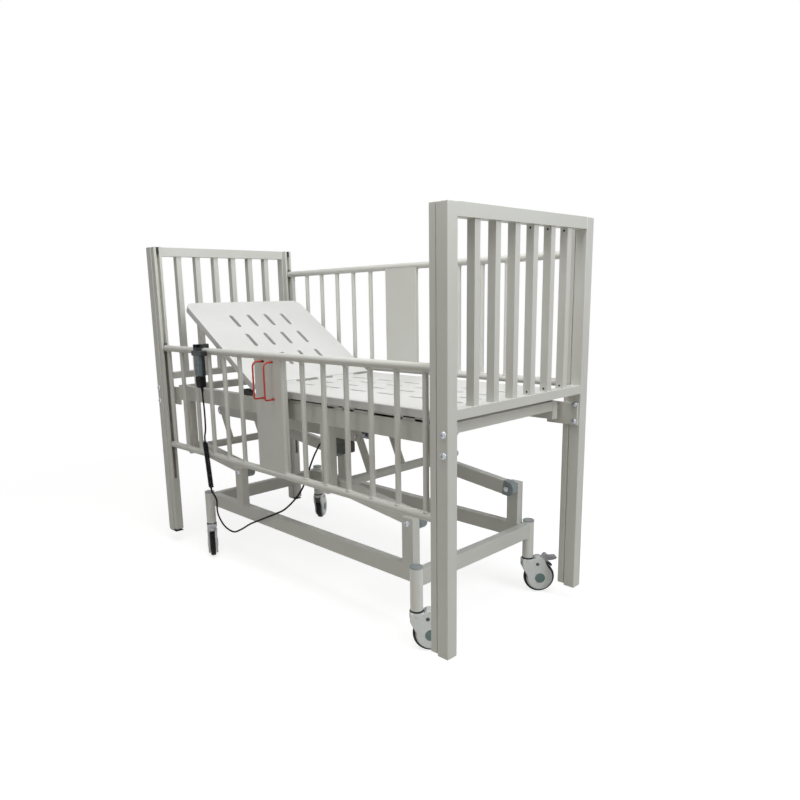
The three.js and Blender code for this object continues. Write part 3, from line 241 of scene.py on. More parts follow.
# Channel liners: the grey liner is painted shade in the posts' channels below the rail top, the pale lining is painted
# light above it
LINER_PAINTED_SHADE = moulded("channel_liner_painted_shade", "dark_plastic", "c4c4bc", "b8b8af", 0.6)
LINING_PAINTED_LIGHT = moulded("channel_lining_painted_light", "hood_plastic", "e0e0d9", "d6d6ce", 0.5)
HUB = moulded("hub_plastic", "grey_plastic", "6f8686", "5f7678", 0.42)
SLATE = moulded("slate_plastic", "dark_plastic", "5c5e5c", "4e504e", 0.48)
FACE = moulded("handset_face", "dark_plastic", "616e74", "536066", 0.42)
DARK = moulded("black_plastic", "dark_plastic", "17191c", "222528", 0.48)
CORD = rubber("cord_jacket", "black_rubber", "0b0c0e", "141517", 0.72)
BUFFER = rubber("buffer_rubber", "black_rubber", "4a4c4e", "5c5e60", 0.70)
TYRE = rubber("tyre_rubber", "wheel_tread", "17181b", "2b2c2f", 0.62)
ZINC = metal("zinc_plate", "steel", "b9bcc0", "9a9da2", 0.34, (1, 1, 14))
CHROME = metal("drawn_rod", "steel", "a3a5a8", "8b8e92", 0.38, (1, 18, 18))


# Shapes: each returns a bmesh in the row frame
def turned(axis):
    return Z.rotation_difference(Vector(axis)).to_matrix().to_4x4()


def moved(shape, matrix):
    bmesh.ops.transform(shape, matrix=matrix, verts=shape.verts)
    return shape


def from_mesh(mesh):
    shape = bmesh.new()
    shape.from_mesh(mesh)
    bpy.data.meshes.remove(mesh)
    return shape


def block(low, high, radius, steps=3):
    """A box with rounded edges."""
    low, high = Vector(low), Vector(high)
    shape = bmesh.new()
    bmesh.ops.create_cube(shape, size=1)
    size = high - low
    for vert in shape.verts:
        vert.co = (low + high) / 2 + Vector(c * s for c, s in zip(vert.co, size))
    bmesh.ops.bevel(
        shape, geom=shape.edges[:], offset=radius, segments=steps, profile=0.5, affect="EDGES", clamp_overlap=True
    )
    return shape


def lathe(profile, origin, axis=Z, sides=32):
    """A profile of (radius, height) points turned about an axis; a closed profile makes a ring."""
    shape = bmesh.new()
    ring_closed = profile[0] == profile[-1]
    rows = []
    for radius, height in profile[:-1] if ring_closed else profile:
        if radius < 1e-9:
            rows.append([shape.verts.new((0, 0, height))])
            continue
        angles = [2 * math.pi * i / sides for i in range(sides)]
        rows.append([shape.verts.new((radius * math.cos(a), radius * math.sin(a), height)) for a in angles])
    pairs = list(zip(rows, rows[1:]))
    if ring_closed:
        pairs.append((rows[-1], rows[0]))
    for lower, upper in pairs:
        for i in range(sides):
            j = (i + 1) % sides
            corners = [lower[i % len(lower)], lower[j % len(lower)], upper[j % len(upper)], upper[i % len(upper)]]
            shape.faces.new(list(dict.fromkeys(corners)))
    if not ring_closed:
        for row in (rows[0], rows[-1]):
            if len(row) > 1:
                shape.faces.new(row)
    return moved(shape, Matrix.Translation(Vector(origin)) @ turned(axis))


def rod(start, end, radius, sides=28, edge=0.0008):
    """A round bar with slightly broken edges."""
    start, end = Vector(start), Vector(end)
    length = (end - start).length
    profile = [
        (0, 0), (radius - edge, 0), (radius - edge * 0.3, edge * 0.3), (radius, edge),
        (radius, length - edge), (radius - edge * 0.3, length - edge * 0.3), (radius - edge, length), (0, length),
    ]
    return lathe(profile, start, end - start, sides)


def sweep(points, radii, sides=16, closed=False):
    """A round tube along points, its section carried along without twist."""
    points = [Vector(p) for p in points]
    count = len(points)
    if not hasattr(radii, "__len__"):
        radii = [radii] * count
    tangents = []
    for i in range(count):
        before = points[i - 1] if closed or i else points[0]
        after = points[(i + 1) % count] if closed or i < count - 1 else points[-1]
        tangents.append((after - before).normalized())
    normal = tangents[0].orthogonal().normalized()
    shape = bmesh.new()
    rings = []
    for point, tangent, radius in zip(points, tangents, radii):
        normal = (normal - tangent * normal.dot(tangent)).normalized()
        side = tangent.cross(normal)
        angles = [2 * math.pi * i / sides for i in range(sides)]
        rings.append([shape.verts.new(point + (normal * math.cos(a) + side * math.sin(a)) * radius) for a in angles])
    for first, second in zip(rings, rings[1:] + ([rings[0]] if closed else [])):
        for i in range(sides):
            j = (i + 1) % sides
            shape.faces.new((first[i], first[j], second[j], second[i]))
    if not closed:
        shape.faces.new(rings[0][::-1])
        shape.faces.new(rings[-1])
    return shape


def winding(loop):
    return sum(a[0] * b[1] - b[0] * a[1] for a, b in zip(loop, loop[1:] + loop[:1]))


def plate(outline, thickness, edge, holes=()):
    """A flat plate on the XY plane, z from 0 up, with rounded edges and holes."""
    curve = bpy.data.curves.new("plate", "CURVE")
    curve.dimensions = "2D"
    curve.fill_mode = "BOTH"
    curve.extrude = thickness / 2 - edge
    curve.bevel_depth = edge
    curve.bevel_resolution = 2
    curve.offset = -edge
    for loop, sign in [(outline, 1), *[(hole, -1) for hole in holes]]:
        loop = list(loop)
        if winding(loop) * sign < 0:
            loop.reverse()
        spline = curve.splines.new("POLY")
        spline.points.add(len(loop) - 1)
        for point, (x, y) in zip(spline.points, loop):
            point.co = (x, y, 0, 1)
        spline.use_cyclic_u = True
    holder = bpy.data.objects.new("plate", curve)
    bpy.context.scene.collection.objects.link(holder)
    graph = bpy.context.evaluated_depsgraph_get()
    shape = from_mesh(bpy.data.meshes.new_from_object(holder.evaluated_get(graph)))
    bpy.data.objects.remove(holder)
    bpy.data.curves.remove(curve)
    bmesh.ops.remove_doubles(shape, verts=shape.verts, dist=1e-6)
    return moved(shape, Matrix.Translation((0, 0, thickness / 2)))


def side_plate(outline, y0, y1, edge, holes=()):
    """A plate whose outline is given as (x, z) points, from y0 to y1."""
    shape = plate(outline, abs(y1 - y0), edge, holes)
    upright = Matrix(((1, 0, 0, 0), (0, 0, -1, max(y0, y1)), (0, 1, 0, 0), (0, 0, 0, 1)))
    return moved(shape, upright)


def arc(centre, radius, start, end, steps):
    """Points on an arc, angles in degrees."""
    angles = [math.radians(start + (end - start) * i / steps) for i in range(steps + 1)]
    return [(centre[0] + radius * math.cos(a), centre[1] + radius * math.sin(a)) for a in angles]


def rounded(points, radius, steps=6):
    """A closed outline with its corners rounded."""
    result = []
    for before, corner, after in zip(points[-1:] + points[:-1], points, points[1:] + points[:1]):
        corner = Vector(corner)
        to_before, to_after = Vector(before) - corner, Vector(after) - corner
        reach = min(radius, 0.45 * to_before.length, 0.45 * to_after.length)
        start, end = corner + to_before.normalized() * reach, corner + to_after.normalized() * reach
        for i in range(steps + 1):
            t = i / steps
            result.append(tuple(start * (1 - t) ** 2 + corner * 2 * t * (1 - t) + end * t ** 2))
    return result


def capsule(a, b, radius, steps=14):
    """The outline of a bar with round ends between two points of a plane."""
    angle = math.degrees(math.atan2(b[1] - a[1], b[0] - a[0]))
    return arc(b, radius, angle - 90, angle + 90, steps) + arc(a, radius, angle + 90, angle + 270, steps)


def rectangle(x0, x1, y0, y1):
    return [(x0, y0), (x1, y0), (x1, y1), (x0, y1)]


def hexagon(centre, radius):
    return arc(centre, radius, 0, 300, 5)


# Pieces
def piece(name, shapes, look, body, nodes=(), place=None, sharp=32, blended=False):
    """One object of several shapes, in one material, riding on a body."""
    whole = bmesh.new()
    for shape in shapes:
        part = bpy.data.meshes.new("part")
        shape.to_mesh(part)
        shape.free()
        whole.from_mesh(part)
        bpy.data.meshes.remove(part)
    if place:
        moved(whole, place)
    bmesh.ops.recalc_face_normals(whole, faces=whole.faces)
    mesh = bpy.data.meshes.new(name)
    whole.to_mesh(mesh)
    whole.free()
    mesh.shade_smooth()
    mesh.set_sharp_from_angle(angle=math.radians(sharp))
    mesh.materials.append(look.material)
    obj = bpy.data.objects.new(name, mesh)
    bpy.context.scene.collection.objects.link(obj)
    if not blended:
        obj.modifiers.new("normals", "WEIGHTED_NORMAL").keep_sharp = True
        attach(obj, body)
    if nodes:
        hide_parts(*nodes)
    return obj


def smooth_group(limit):
    """Geometry nodes that shade smoothly and keep edges sharper than the limit."""
    group = bpy.data.node_groups.new("smooth_by_angle", "GeometryNodeTree")
    group.interface.new_socket("Geometry", in_out="INPUT", socket_type="NodeSocketGeometry")
    group.interface.new_socket("Geometry", in_out="OUTPUT", socket_type="NodeSocketGeometry")
    nodes, links = group.nodes, group.links
    start = nodes.new("NodeGroupInput")
    clear = nodes.new("GeometryNodeRemoveAttribute")
    clear.inputs["Name"].default_value = "custom_normal"
    faces = nodes.new("GeometryNodeSetShadeSmooth")
    faces.domain = "FACE"
    angle = nodes.new("GeometryNodeInputMeshEdgeAngle")
    compare = nodes.new("FunctionNodeCompare")
    compare.operation = "LESS_THAN"
    compare.inputs["B"].default_value = limit
    edges = nodes.new("GeometryNodeSetShadeSmooth")
    edges.domain = "EDGE"
    end = nodes.new("NodeGroupOutput")
    links.new(start.outputs[0], clear.inputs[0])
    links.new(clear.outputs[0], faces.inputs[0])
    links.new(faces.outputs[0], edges.inputs[0])
    links.new(angle.outputs["Unsigned Angle"], compare.inputs["A"])
    links.new(compare.outputs[0], edges.inputs["Shade Smooth"])
    links.new(edges.outputs[0], end.inputs[0])
    return group


SMOOTH = smooth_group(math.radians(32))


def dress(node, look, width):
    """A CAD node as it is, its edges rounded by modifiers and its finish set."""
    obj = frame["nodes"][node]
    weld = obj.modifiers.new("weld", "WELD")
    weld.merge_threshold = 1e-5
    flat = obj.modifiers.new("flat", "DECIMATE")
    flat.decimate_type = "DISSOLVE"
    flat.angle_limit = math.radians(1)
    bevel = obj.modifiers.new("edges", "BEVEL")
    bevel.width = width
    bevel.segments = 3
    bevel.limit_method = "ANGLE"
    bevel.angle_limit = math.radians(40)
    smooth = obj.modifiers.new("smooth", "NODES")
    smooth.node_group = SMOOTH
    obj.modifiers.new("normals", "WEIGHTED_NORMAL").keep_sharp = True
    obj.data.materials.clear()
    obj.data.materials.append(look.material)


def middle(node):
    low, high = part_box(node)
    return (low + high) / 2


# Cord: repeats the route of its solids, with the curls worked out
CORD_RADIUS = 3.1 * MM
CURL_WIRE_RADIUS = 3.2 * MM
CURL_RADIUS = 6.4 * MM
CURL_TURNS = 26
CURL_STEPS = 20
CURL_DROP = 175 * MM
CURL_LENGTH = 184 * MM
CURL_SHIFT = 5 * MM
CURL_LEAN = 21 * MM
CURL_LEAD = 6.4 * MM


def spline(points, steps):
    """Centripetal Catmull-Rom points through a route."""
    points = [Vector(p) for p in points]
    padded = [points[0] * 2 - points[1], *points, points[-1] * 2 - points[-2]]
    result = []
    for p0, p1, p2, p3 in zip(padded, padded[1:], padded[2:], padded[3:]):
        t1 = math.sqrt((p1 - p0).length)
        t2 = t1 + math.sqrt((p2 - p1).length)
        t3 = t2 + math.sqrt((p3 - p2).length)
        for i in range(steps):
            t = t1 + (t2 - t1) * i / steps
            a1 = p0 * ((t1 - t) / t1) + p1 * (t / t1)
            a2 = p1 * ((t2 - t) / (t2 - t1)) + p2 * ((t - t1) / (t2 - t1))
            a3 = p2 * ((t3 - t) / (t3 - t2)) + p3 * ((t - t2) / (t3 - t2))
            b1 = a1 * ((t2 - t) / t2) + a2 * (t / t2)
            b2 = a2 * ((t3 - t) / (t3 - t1)) + a3 * ((t - t1) / (t3 - t1))
            result.append(b1 * ((t2 - t) / (t2 - t1)) + b2 * ((t - t1) / (t2 - t1)))
    return [*result, points[-1]]


def make_cord():
    relief_low, relief_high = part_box("handset_relief")
    relief = (relief_low + relief_high) / 2
    exit_point = Vector((relief.x, relief.y, relief_low.z))
    gland_low, gland_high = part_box("control_gland")
    gland = Vector((gland_low.x, (gland_low.y + gland_high.y) / 2, (gland_low.z + gland_high.z) / 2))
    curl_top = exit_point + Vector((-CURL_SHIFT, -1 * MM, -CURL_DROP))
    curl_end = curl_top + Vector((CURL_LEAN, 0, -CURL_LENGTH))

    upper = [
        (0, 0, -0.3), (0, 0, -14), (5, -1, -50), (8, -2, -95), (4, -1.5, -138), (-5, -1, -161), (-5, -1, -174.7),
    ]
    upper_route = spline([exit_point + Vector(p) * MM for p in upper], 8)

    curls = [curl_top]
    count = CURL_TURNS * CURL_STEPS
    ease = CURL_STEPS * 0.75
    for i in range(count + 1):
        share = i / count
        turn = 2 * math.pi * i / CURL_STEPS
        radius = CURL_RADIUS * min(1, i / ease, (count - i) / ease)
        height = CURL_LEAD + (CURL_LENGTH - 2 * CURL_LEAD) * share
        across = Vector((CURL_LEAN * share + radius * math.cos(turn), radius * math.sin(turn), -height))
        curls.append(curl_top + across)
    curls.append(curl_end)

    near_curl = [(0, 0, 0.3), (0, 0, 6), (11, 3.5, 18), (19, 7.5, 38), (13, 10.5, 64)]
    hanging = [
        (-367, -316, 196), (-359, -308, 165), (-340, -301, 144), (-301, -294, 135), (-259, -290, 152),
        (-198, -287, 187), (-140, -286, 214), (-88, -284, 238), (-40, -282, 260), (5, -277, 284), (40, -255, 325),
        (46, -232, 354), (22, -190, 388), (-14, -140, 420), (-44, -95, 444), (-54, -60, 469.6),
    ]
    lower_route = spline(
        [curl_end + Vector((x, y, -z)) * MM for x, y, z in near_curl]
        + [Vector(p) * MM for p in hanging]
        + [gland - Vector((16, 0, 0)) * MM, gland - Vector((0.3, 0, 0)) * MM],
        8,
    )
    path = upper_route + curls + lower_route
    radii = [CORD_RADIUS] * len(upper_route) + [CURL_WIRE_RADIUS] * len(curls) + [CORD_RADIUS] * len(lower_route)
    cord = piece("cord", [sweep(path, radii, 10)], CORD, None, ["cord_upper", "cord_coil", "cord_lower"], sharp=60,
                 blended=True)
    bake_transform(cord)
    return cord, exit_point, path


def make_relief():
    low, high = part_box("handset_relief")
    centre = (low + high) / 2
    length = high.z - low.z
    profile = [(0, 0)]
    ribs = 5
    for i in range(ribs):
        foot, top = length * i / ribs, length * (i + 0.7) / ribs
        radius = (3.7 + 1.9 * i / (ribs - 1)) * MM
        profile += [(radius - 0.5 * MM, foot), (radius, foot + 0.5 * MM), (radius, top), (radius - 0.9 * MM, top + 0.3 * MM)]
    profile += [(5.5 * MM, length), (0, length)]
    return piece("cord_relief", [lathe(profile, (centre.x, centre.y, low.z))], CORD, "rail_near", ["handset_relief"])


def make_gland():
    low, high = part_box("control_gland")
    y, z = (low.y + high.y) / 2, (low.z + high.z) / 2
    nut = side_plate(hexagon((0, 0), 7.2 * MM), 0, 7 * MM, 0.5 * MM)
    # The hexagon lies in XZ and runs along Y, so it is turned to run along X
    nut = moved(nut, Matrix.Translation((high.x - 7 * MM, y, z)) @ Matrix.Rotation(-math.pi / 2, 4, "Z"))
    cap = lathe(
        [(0, 0), (3.4 * MM, 0), (4.4 * MM, 1 * MM), (5.6 * MM, 7 * MM), (5.6 * MM, 8.5 * MM), (0, 8.5 * MM)],
        (low.x, y, z), (1, 0, 0),
    )
    return piece("cord_gland", [nut, cap], DARK, "deck", ["control_gland"])


cord, cord_exit, cord_path = make_cord()
relief = make_relief()
gland = make_gland()


# Frame members that keep their CAD shape
TUBE_EDGE = 2.2 * MM
for end in ("head", "foot"):
    dress(f"grille_{end}", IVORY, 1.8 * MM)
    dress(f"deck_cross_{end}", IVORY, TUBE_EDGE)
for side in ("near", "far"):
    dress(f"base_rail_{side}", IVORY, TUBE_EDGE)
    dress(f"deck_side_{side}", IVORY, TUBE_EDGE)
    dress(f"sync_bar_{side}", IVORY, 1.2 * MM)
dress("deck_cross_mid", IVORY, 1.5 * MM)
dress("lift_actuator_rod", CHROME, 1 * MM)
dress("backrest_actuator_rod", CHROME, 1 * MM)
for number in (1, 2, 3, 4):
    dress(f"handset_button_{number}", BUTTON, 1.2 * MM)


# Guard rails
RAIL_TUBE_RADIUS = 12 * MM
RAIL_BAR_RADIUS = 8 * MM
RAIL_END_RADIUS = 8 * MM
RAIL_BARS = 5
STILE_X = 71 * MM
STILE_RADIUS = 7 * MM
RAIL_END_GAP = 7 * MM
RAIL_END_INSET = 25 * MM
PANEL_HALF = 8.5 * MM
PANEL_SHEET = 5.2 * MM
PANEL_COVER = 2 * MM
GUIDE_HALF_HEIGHT = 20 * MM
GUIDE_HALF_WIDTH = 5.4 * MM
LATCH_X = 30 * MM
LATCH_RADIUS = 3 * MM
LATCH_TRAVEL = 12 * MM


def weld_ring(foot, axis, radius, tube_radius):
    """A small weld bead where a bar of that radius meets a tube's surface."""
    start = tube_radius - 1.2 * MM
    profile = [
        (radius - 0.6 * MM, start), (radius + 2.2 * MM, start), (radius + 1.9 * MM, tube_radius + 0.6 * MM),
        (radius + 0.9 * MM, tube_radius + 1.7 * MM), (radius - 0.6 * MM, tube_radius + 2.3 * MM),
        (radius - 0.6 * MM, start),
    ]
    return lathe(profile, foot, axis, 20)


def guard_rail(side):
    node = f"guard_rail_{side}"
    low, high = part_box(node)
    y = (low.y + high.y) / 2
    top, foot = high.z - GUIDE_HALF_HEIGHT, low.z + GUIDE_HALF_HEIGHT
    rail_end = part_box("post_near_foot")[0].x - RAIL_END_GAP
    end_x = rail_end - RAIL_END_INSET
    pitch = (end_x - STILE_X) / (RAIL_BARS + 1)
    shapes = [rod((-rail_end, y, z), (rail_end, y, z), RAIL_TUBE_RADIUS, 32, 2 * MM) for z in (top, foot)]
    uprights = [(end_x, RAIL_END_RADIUS), (STILE_X, STILE_RADIUS)]
    uprights += [(end_x - i * pitch, RAIL_BAR_RADIUS) for i in range(1, RAIL_BARS + 1)]
    for sign in (-1, 1):
        for x, radius in uprights:
            shapes.append(rod((sign * x, y, foot), (sign * x, y, top), radius, 24))
            shapes.append(weld_ring((sign * x, y, foot), (0, 0, 1), radius, RAIL_TUBE_RADIUS))
            shapes.append(weld_ring((sign * x, y, top), (0, 0, -1), radius, RAIL_TUBE_RADIUS))
    latch_low, latch_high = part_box(f"latch_{side}_foot")
    inner, outer = LATCH_X - LATCH_TRAVEL - LATCH_RADIUS, LATCH_X + LATCH_RADIUS
    half = LATCH_RADIUS + 0.6 * MM
    slots = []
    for sign in (-1, 1):
        for z in (latch_low.z + LATCH_RADIUS, latch_high.z - LATCH_RADIUS):
            slots.append(capsule((sign * (inner + half), z), (sign * (outer - half), z), half, 8))
    outward = 1 if side == "far" else -1
    face = y + outward * PANEL_HALF
    panel = rectangle(-STILE_X, STILE_X, foot, top)
    shapes.append(side_plate(panel, face - outward * PANEL_SHEET, face, 0.6 * MM, slots))
    cover = rectangle(-STILE_X - STILE_RADIUS, STILE_X + STILE_RADIUS, foot, top)
    bed_side = y - outward * PANEL_HALF
    shapes.append(side_plate(cover, bed_side + outward * PANEL_SHEET, bed_side - outward * PANEL_COVER, 1 * MM))
    piece(f"rail_{side}", shapes, IVORY, f"rail_{side}", [node])

    guides = []
    for sign in (-1, 1):
        for z in (top, foot):
            ends = sorted((sign * (rail_end - 3 * MM), sign * high.x))
            guides.append(block(
                (ends[0], y - GUIDE_HALF_WIDTH, z - GUIDE_HALF_HEIGHT),
                (ends[1], y + GUIDE_HALF_WIDTH, z + GUIDE_HALF_HEIGHT), 1.4 * MM,
            ))
    piece(f"rail_{side}_guides", guides, GUIDE, f"rail_{side}")


def bent(points, radii, steps=8):
    """A closed path through corners, each rounded by its own radius."""
    result = []
    for before, corner, after, radius in zip(points[-1:] + points[:-1], points, points[1:] + points[:1], radii):
        to_before, to_after = before - corner, after - corner
        start, end = corner + to_before.normalized() * radius, corner + to_after.normalized() * radius
        for i in range(steps + 1):
            t = i / steps
            result.append(start * (1 - t) ** 2 + corner * 2 * t * (1 - t) + end * t ** 2)
    return result


def latch(side, end):
    """A red wire handle: its top corner has a wide bend, the others are tight."""
    node = f"latch_{side}_{end}"
    low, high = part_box(node)
    x = (low.x + high.x) / 2
    front, rear = low.y + LATCH_RADIUS, high.y - LATCH_RADIUS
    if side == "far":
        front, rear = rear, front
    bottom, top = low.z + LATCH_RADIUS, high.z - LATCH_RADIUS
    corners = [Vector(p) for p in ((x, rear, bottom), (x, front, bottom), (x, front, top), (x, rear, top))]
    path = bent(corners, [5 * MM, 8 * MM, 18 * MM, 5 * MM])
    piece(node + "_wire", [sweep(path, LATCH_RADIUS, 16, True)], RED, body_of[node], [node], sharp=60)


for side in ("near", "far"):
    guard_rail(side)
    for end in ("head", "foot"):
        latch(side, end)


# Casters, made about the swivel axis trailing along +X, then turned into place
HOOD_SHOW = 9.5 * MM
HOOD_HALF = 18 * MM
CHEEK_INNER = 11.5 * MM
WHEEL_HALF = 10 * MM
TYRE_DEPTH = 7 * MM
WHEEL_ROOM = 3 * MM
FORK_TOP = 119.7 * MM
NECK_RADIUS = 20 * MM
COLLAR_RADIUS = 19.4 * MM
COLLAR_HEIGHT = 4 * MM
AXLE_CAP_RADIUS = 16.5 * MM
PEDAL_HALF = 11 * MM


def scaled(points, origin=(0, 0)):
    return [(origin[0] + x * MM, origin[1] + z * MM) for x, z in points]


def caster_hood(name, turn, centre, radius):
    """One teardrop shell: two cheeks, a round neck with a dark collar, and a dark crown between them."""
    body = f"swivel_{name}"
    shoulder = scaled([(-20, 86), (-20, 112), (-15, 116), (21, 116), (27, 121), (40, 122), (50, 114), (58, 101)])
    cheek = rounded(shoulder, 5 * MM, 5)[3:-3] + arc(centre, radius - HOOD_SHOW, 40, -186, 48)
    shell = [side_plate(cheek, sign * CHEEK_INNER, sign * HOOD_HALF, 3 * MM) for sign in (-1, 1)]
    neck_top = FORK_TOP - COLLAR_HEIGHT
    neck = [
        (0, 96 * MM), (NECK_RADIUS - 3 * MM, 96 * MM), (NECK_RADIUS - 0.6 * MM, 102 * MM), (NECK_RADIUS, 106 * MM),
        (NECK_RADIUS, neck_top - 1.5 * MM), (NECK_RADIUS - 0.6 * MM, neck_top - 0.3 * MM),
        (NECK_RADIUS - 1.6 * MM, neck_top), (0, neck_top),
    ]
    wheel_top = 2 * radius
    roof = scaled([(20, 112), (27, 119), (40, 120), (43, 116), (30, 108)])
    shell.append(lathe([(r, max(z, wheel_top + 4 * MM)) for r, z in neck], (0, 0, 0), Z, 40))
    shell.append(side_plate(rounded(roof, 2 * MM, 3), -CHEEK_INNER - 1 * MM, CHEEK_INNER + 1 * MM, 0.6 * MM))
    piece(f"caster_{name}_hood", shell, HOOD, body, [f"caster_{name}_fork"], turn)

    crown = scaled([(-18, 96), (-18, 110), (20, 113), (38, 114), (44, 107)])
    crown += arc(centre, radius + WHEEL_ROOM, 80, 148, 16)
    core = [side_plate(crown, -CHEEK_INNER - 0.6 * MM, CHEEK_INNER + 0.6 * MM, 0.4 * MM)]
    core.append(lathe([
        (0, neck_top - 1 * MM), (COLLAR_RADIUS - 0.8 * MM, neck_top - 1 * MM), (COLLAR_RADIUS, neck_top),
        (COLLAR_RADIUS, FORK_TOP - 1 * MM), (COLLAR_RADIUS - 1 * MM, FORK_TOP), (0, FORK_TOP),
    ], (0, 0, 0), Z, 40))
    shoe = arc(centre, radius + 1.8 * MM, 84, 44, 10)
    shoe += arc(centre, radius + 9 * MM, 44, 58, 4)
    shoe += arc(centre, radius + 5 * MM, 63, 84, 5)
    core.append(side_plate(shoe, -9 * MM, 9 * MM, 0.6 * MM))
    piece(f"caster_{name}_core", core, DARK, body, place=turn)

    caps = []
    plugs = []
    for sign in (-1, 1):
        outward = (0, sign, 0)
        cap = [
            (0, 0), (AXLE_CAP_RADIUS, 0), (AXLE_CAP_RADIUS, 0.6 * MM), (AXLE_CAP_RADIUS - 0.8 * MM, 1.3 * MM),
            (AXLE_CAP_RADIUS - 2.4 * MM, 1.5 * MM), (AXLE_CAP_RADIUS - 3 * MM, 1.1 * MM),
            (6 * MM, 1.3 * MM), (0, 1.5 * MM),
        ]
        caps.append(lathe(cap, (centre[0], sign * HOOD_HALF, centre[1]), outward, 40))
        plug = [
            (0, 0), (5.6 * MM, 0), (5.6 * MM, 0.5 * MM), (4.8 * MM, 1.1 * MM), (3 * MM, 1.1 * MM),
            (2.6 * MM, 0.4 * MM), (0, 0.4 * MM),
        ]
        plugs.append(lathe(plug, (29 * MM, sign * HOOD_HALF, 98 * MM), outward, 24))
    piece(f"caster_{name}_axle_caps", caps, HUB, body, place=turn)
    piece(f"caster_{name}_plugs", plugs, SLATE, body, place=turn)


def caster_wheel(name, place, radius):
    bore = 5.4 * MM
    rim = radius - TYRE_DEPTH
    half = WHEEL_HALF
    bulge = [(2.4, 0), (4.8, 1.6), (6.4, 4), (7, 7.4)]
    tyre = [(rim, -half)]
    tyre += [(rim + x * MM, -half + y * MM) for x, y in bulge]
    tyre += [(rim + x * MM, half - y * MM) for x, y in reversed(bulge)]
    tyre += [(rim, half), (rim - 1.5 * MM, 0), (rim, -half)]
    wheel = lathe(tyre, (0, 0, 0), (0, 1, 0), 64)
    piece(f"caster_{name}_tyre", [wheel], TYRE, f"wheel_{name}", [f"caster_{name}_wheel"], place)
    disc = [
        (bore, -half + 1 * MM), (16 * MM, -half + 1 * MM), (18 * MM, -half + 3 * MM), (rim - 6 * MM, -half + 3 * MM),
        (rim - 4 * MM, -half + 0.5 * MM), (rim + 0.2 * MM, -half + 0.5 * MM),
    ]
    disc += [(r, -y) for r, y in reversed(disc)]
    disc.append(disc[0])
    piece(f"caster_{name}_disc", [lathe(disc, (0, 0, 0), (0, 1, 0), 48)], HOOD, f"wheel_{name}", place=place)


def caster_pedal(name, turn, pin):
    tread = [
        (-5, -3), (2, -5), (10, -5), (15, -2), (28, -2), (41, 1), (46, 4), (46, 9), (41, 12), (28, 11), (19, 12),
        (13, 19), (5, 20), (0, 12), (-6, 5),
    ]
    lever = rounded(scaled(tread, pin), 3 * MM, 4)
    bars = [side_plate(lever, -PEDAL_HALF, PEDAL_HALF, 2 * MM)]
    for i in range(4):
        x, z = pin[0] + (22 + 6 * i) * MM, pin[1] + (11.2 + 0.2 * i) * MM
        bars.append(rod((x, -8 * MM, z), (x, 8 * MM, z), 1.2 * MM, 12, 0.4 * MM))
    piece(f"caster_{name}_lever", bars, PEDAL, f"pedal_{name}", [f"caster_{name}_pedal"], turn)


def caster(name):
    swivel, axle, pedal_pin = (Vector(joints[f"{kind}_{name}"]["pos_m"]) for kind in ("swivel", "wheel", "pedal"))
    trail = (axle - swivel).to_2d()
    turn = Matrix.Translation((swivel.x, swivel.y, 0)) @ Matrix.Rotation(math.atan2(trail.y, trail.x), 4, "Z")
    centre = (trail.length, axle.z)
    caster_hood(name, turn, centre, axle.z)
    caster_wheel(name, turn @ Matrix.Translation((centre[0], 0, centre[1])), axle.z)
    caster_pedal(name, turn, ((pedal_pin - swivel).to_2d().length, pedal_pin.z))


for corner in ("near_head", "far_head", "near_foot", "far_foot"):
    caster(corner)


# Base cross tubes with round caster stems and their caps
STEM_RADIUS = 18 * MM
BASE_TOP = 236 * MM


def base_cross(end):
    node = f"base_cross_{end}"
    low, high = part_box(node)
    swivels = [Vector(joints[f"swivel_{side}_{end}"]["pos_m"]) for side in ("near", "far")]
    rail_low, rail_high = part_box("base_rail_near")
    x = swivels[0].x
    half = (rail_low.x - x if end == "head" else x - rail_high.x) - 0.3 * MM
    tube = block((x - half, swivels[0].y, rail_low.z), (x + half, swivels[1].y, BASE_TOP), 2.2 * MM)
    stems = []
    caps = []
    for swivel in swivels:
        stems.append(lathe([
            (0, low.z), (STEM_RADIUS - 1.2 * MM, low.z), (STEM_RADIUS, low.z + 1.2 * MM),
            (STEM_RADIUS, high.z - 3 * MM), (0, high.z - 3 * MM),
        ], (swivel.x, swivel.y, 0), Z, 40))
        caps.append(lathe([
            (0, high.z - 5 * MM), (STEM_RADIUS + 0.5 * MM, high.z - 5 * MM), (STEM_RADIUS + 0.6 * MM, high.z - 2 * MM),
            (STEM_RADIUS - 0.6 * MM, high.z - 0.4 * MM), (STEM_RADIUS - 3 * MM, high.z), (0, high.z + 0.3 * MM),
        ], (swivel.x, swivel.y, 0), Z, 40))
    piece(f"base_{end}_tube", [tube], IVORY, "base", [node])
    # The stems wear the lighter copy of the ivory paint, which is painted light
    piece(f"base_{end}_stems", stems, STEM_PAINTED_LIGHT, "base")
    piece(f"base_{end}_stem_caps", caps, CAP, "base")


for end in ("head", "foot"):
    base_cross(end)


# Lift frames: arms with plastic end caps, levers, torsion tube and cross pin
ARM_RADIUS = 23 * MM
ARM_THICK = 28 * MM
ARM_GAP = 2 * MM
LEVER_Y = 74 * MM
LEVER_THICK = 8 * MM
LEVER_RADIUS = 15 * MM
TORSION_RADIUS = 15 * MM
JOURNAL_RADIUS = 11 * MM
PIN_RADIUS = 6 * MM


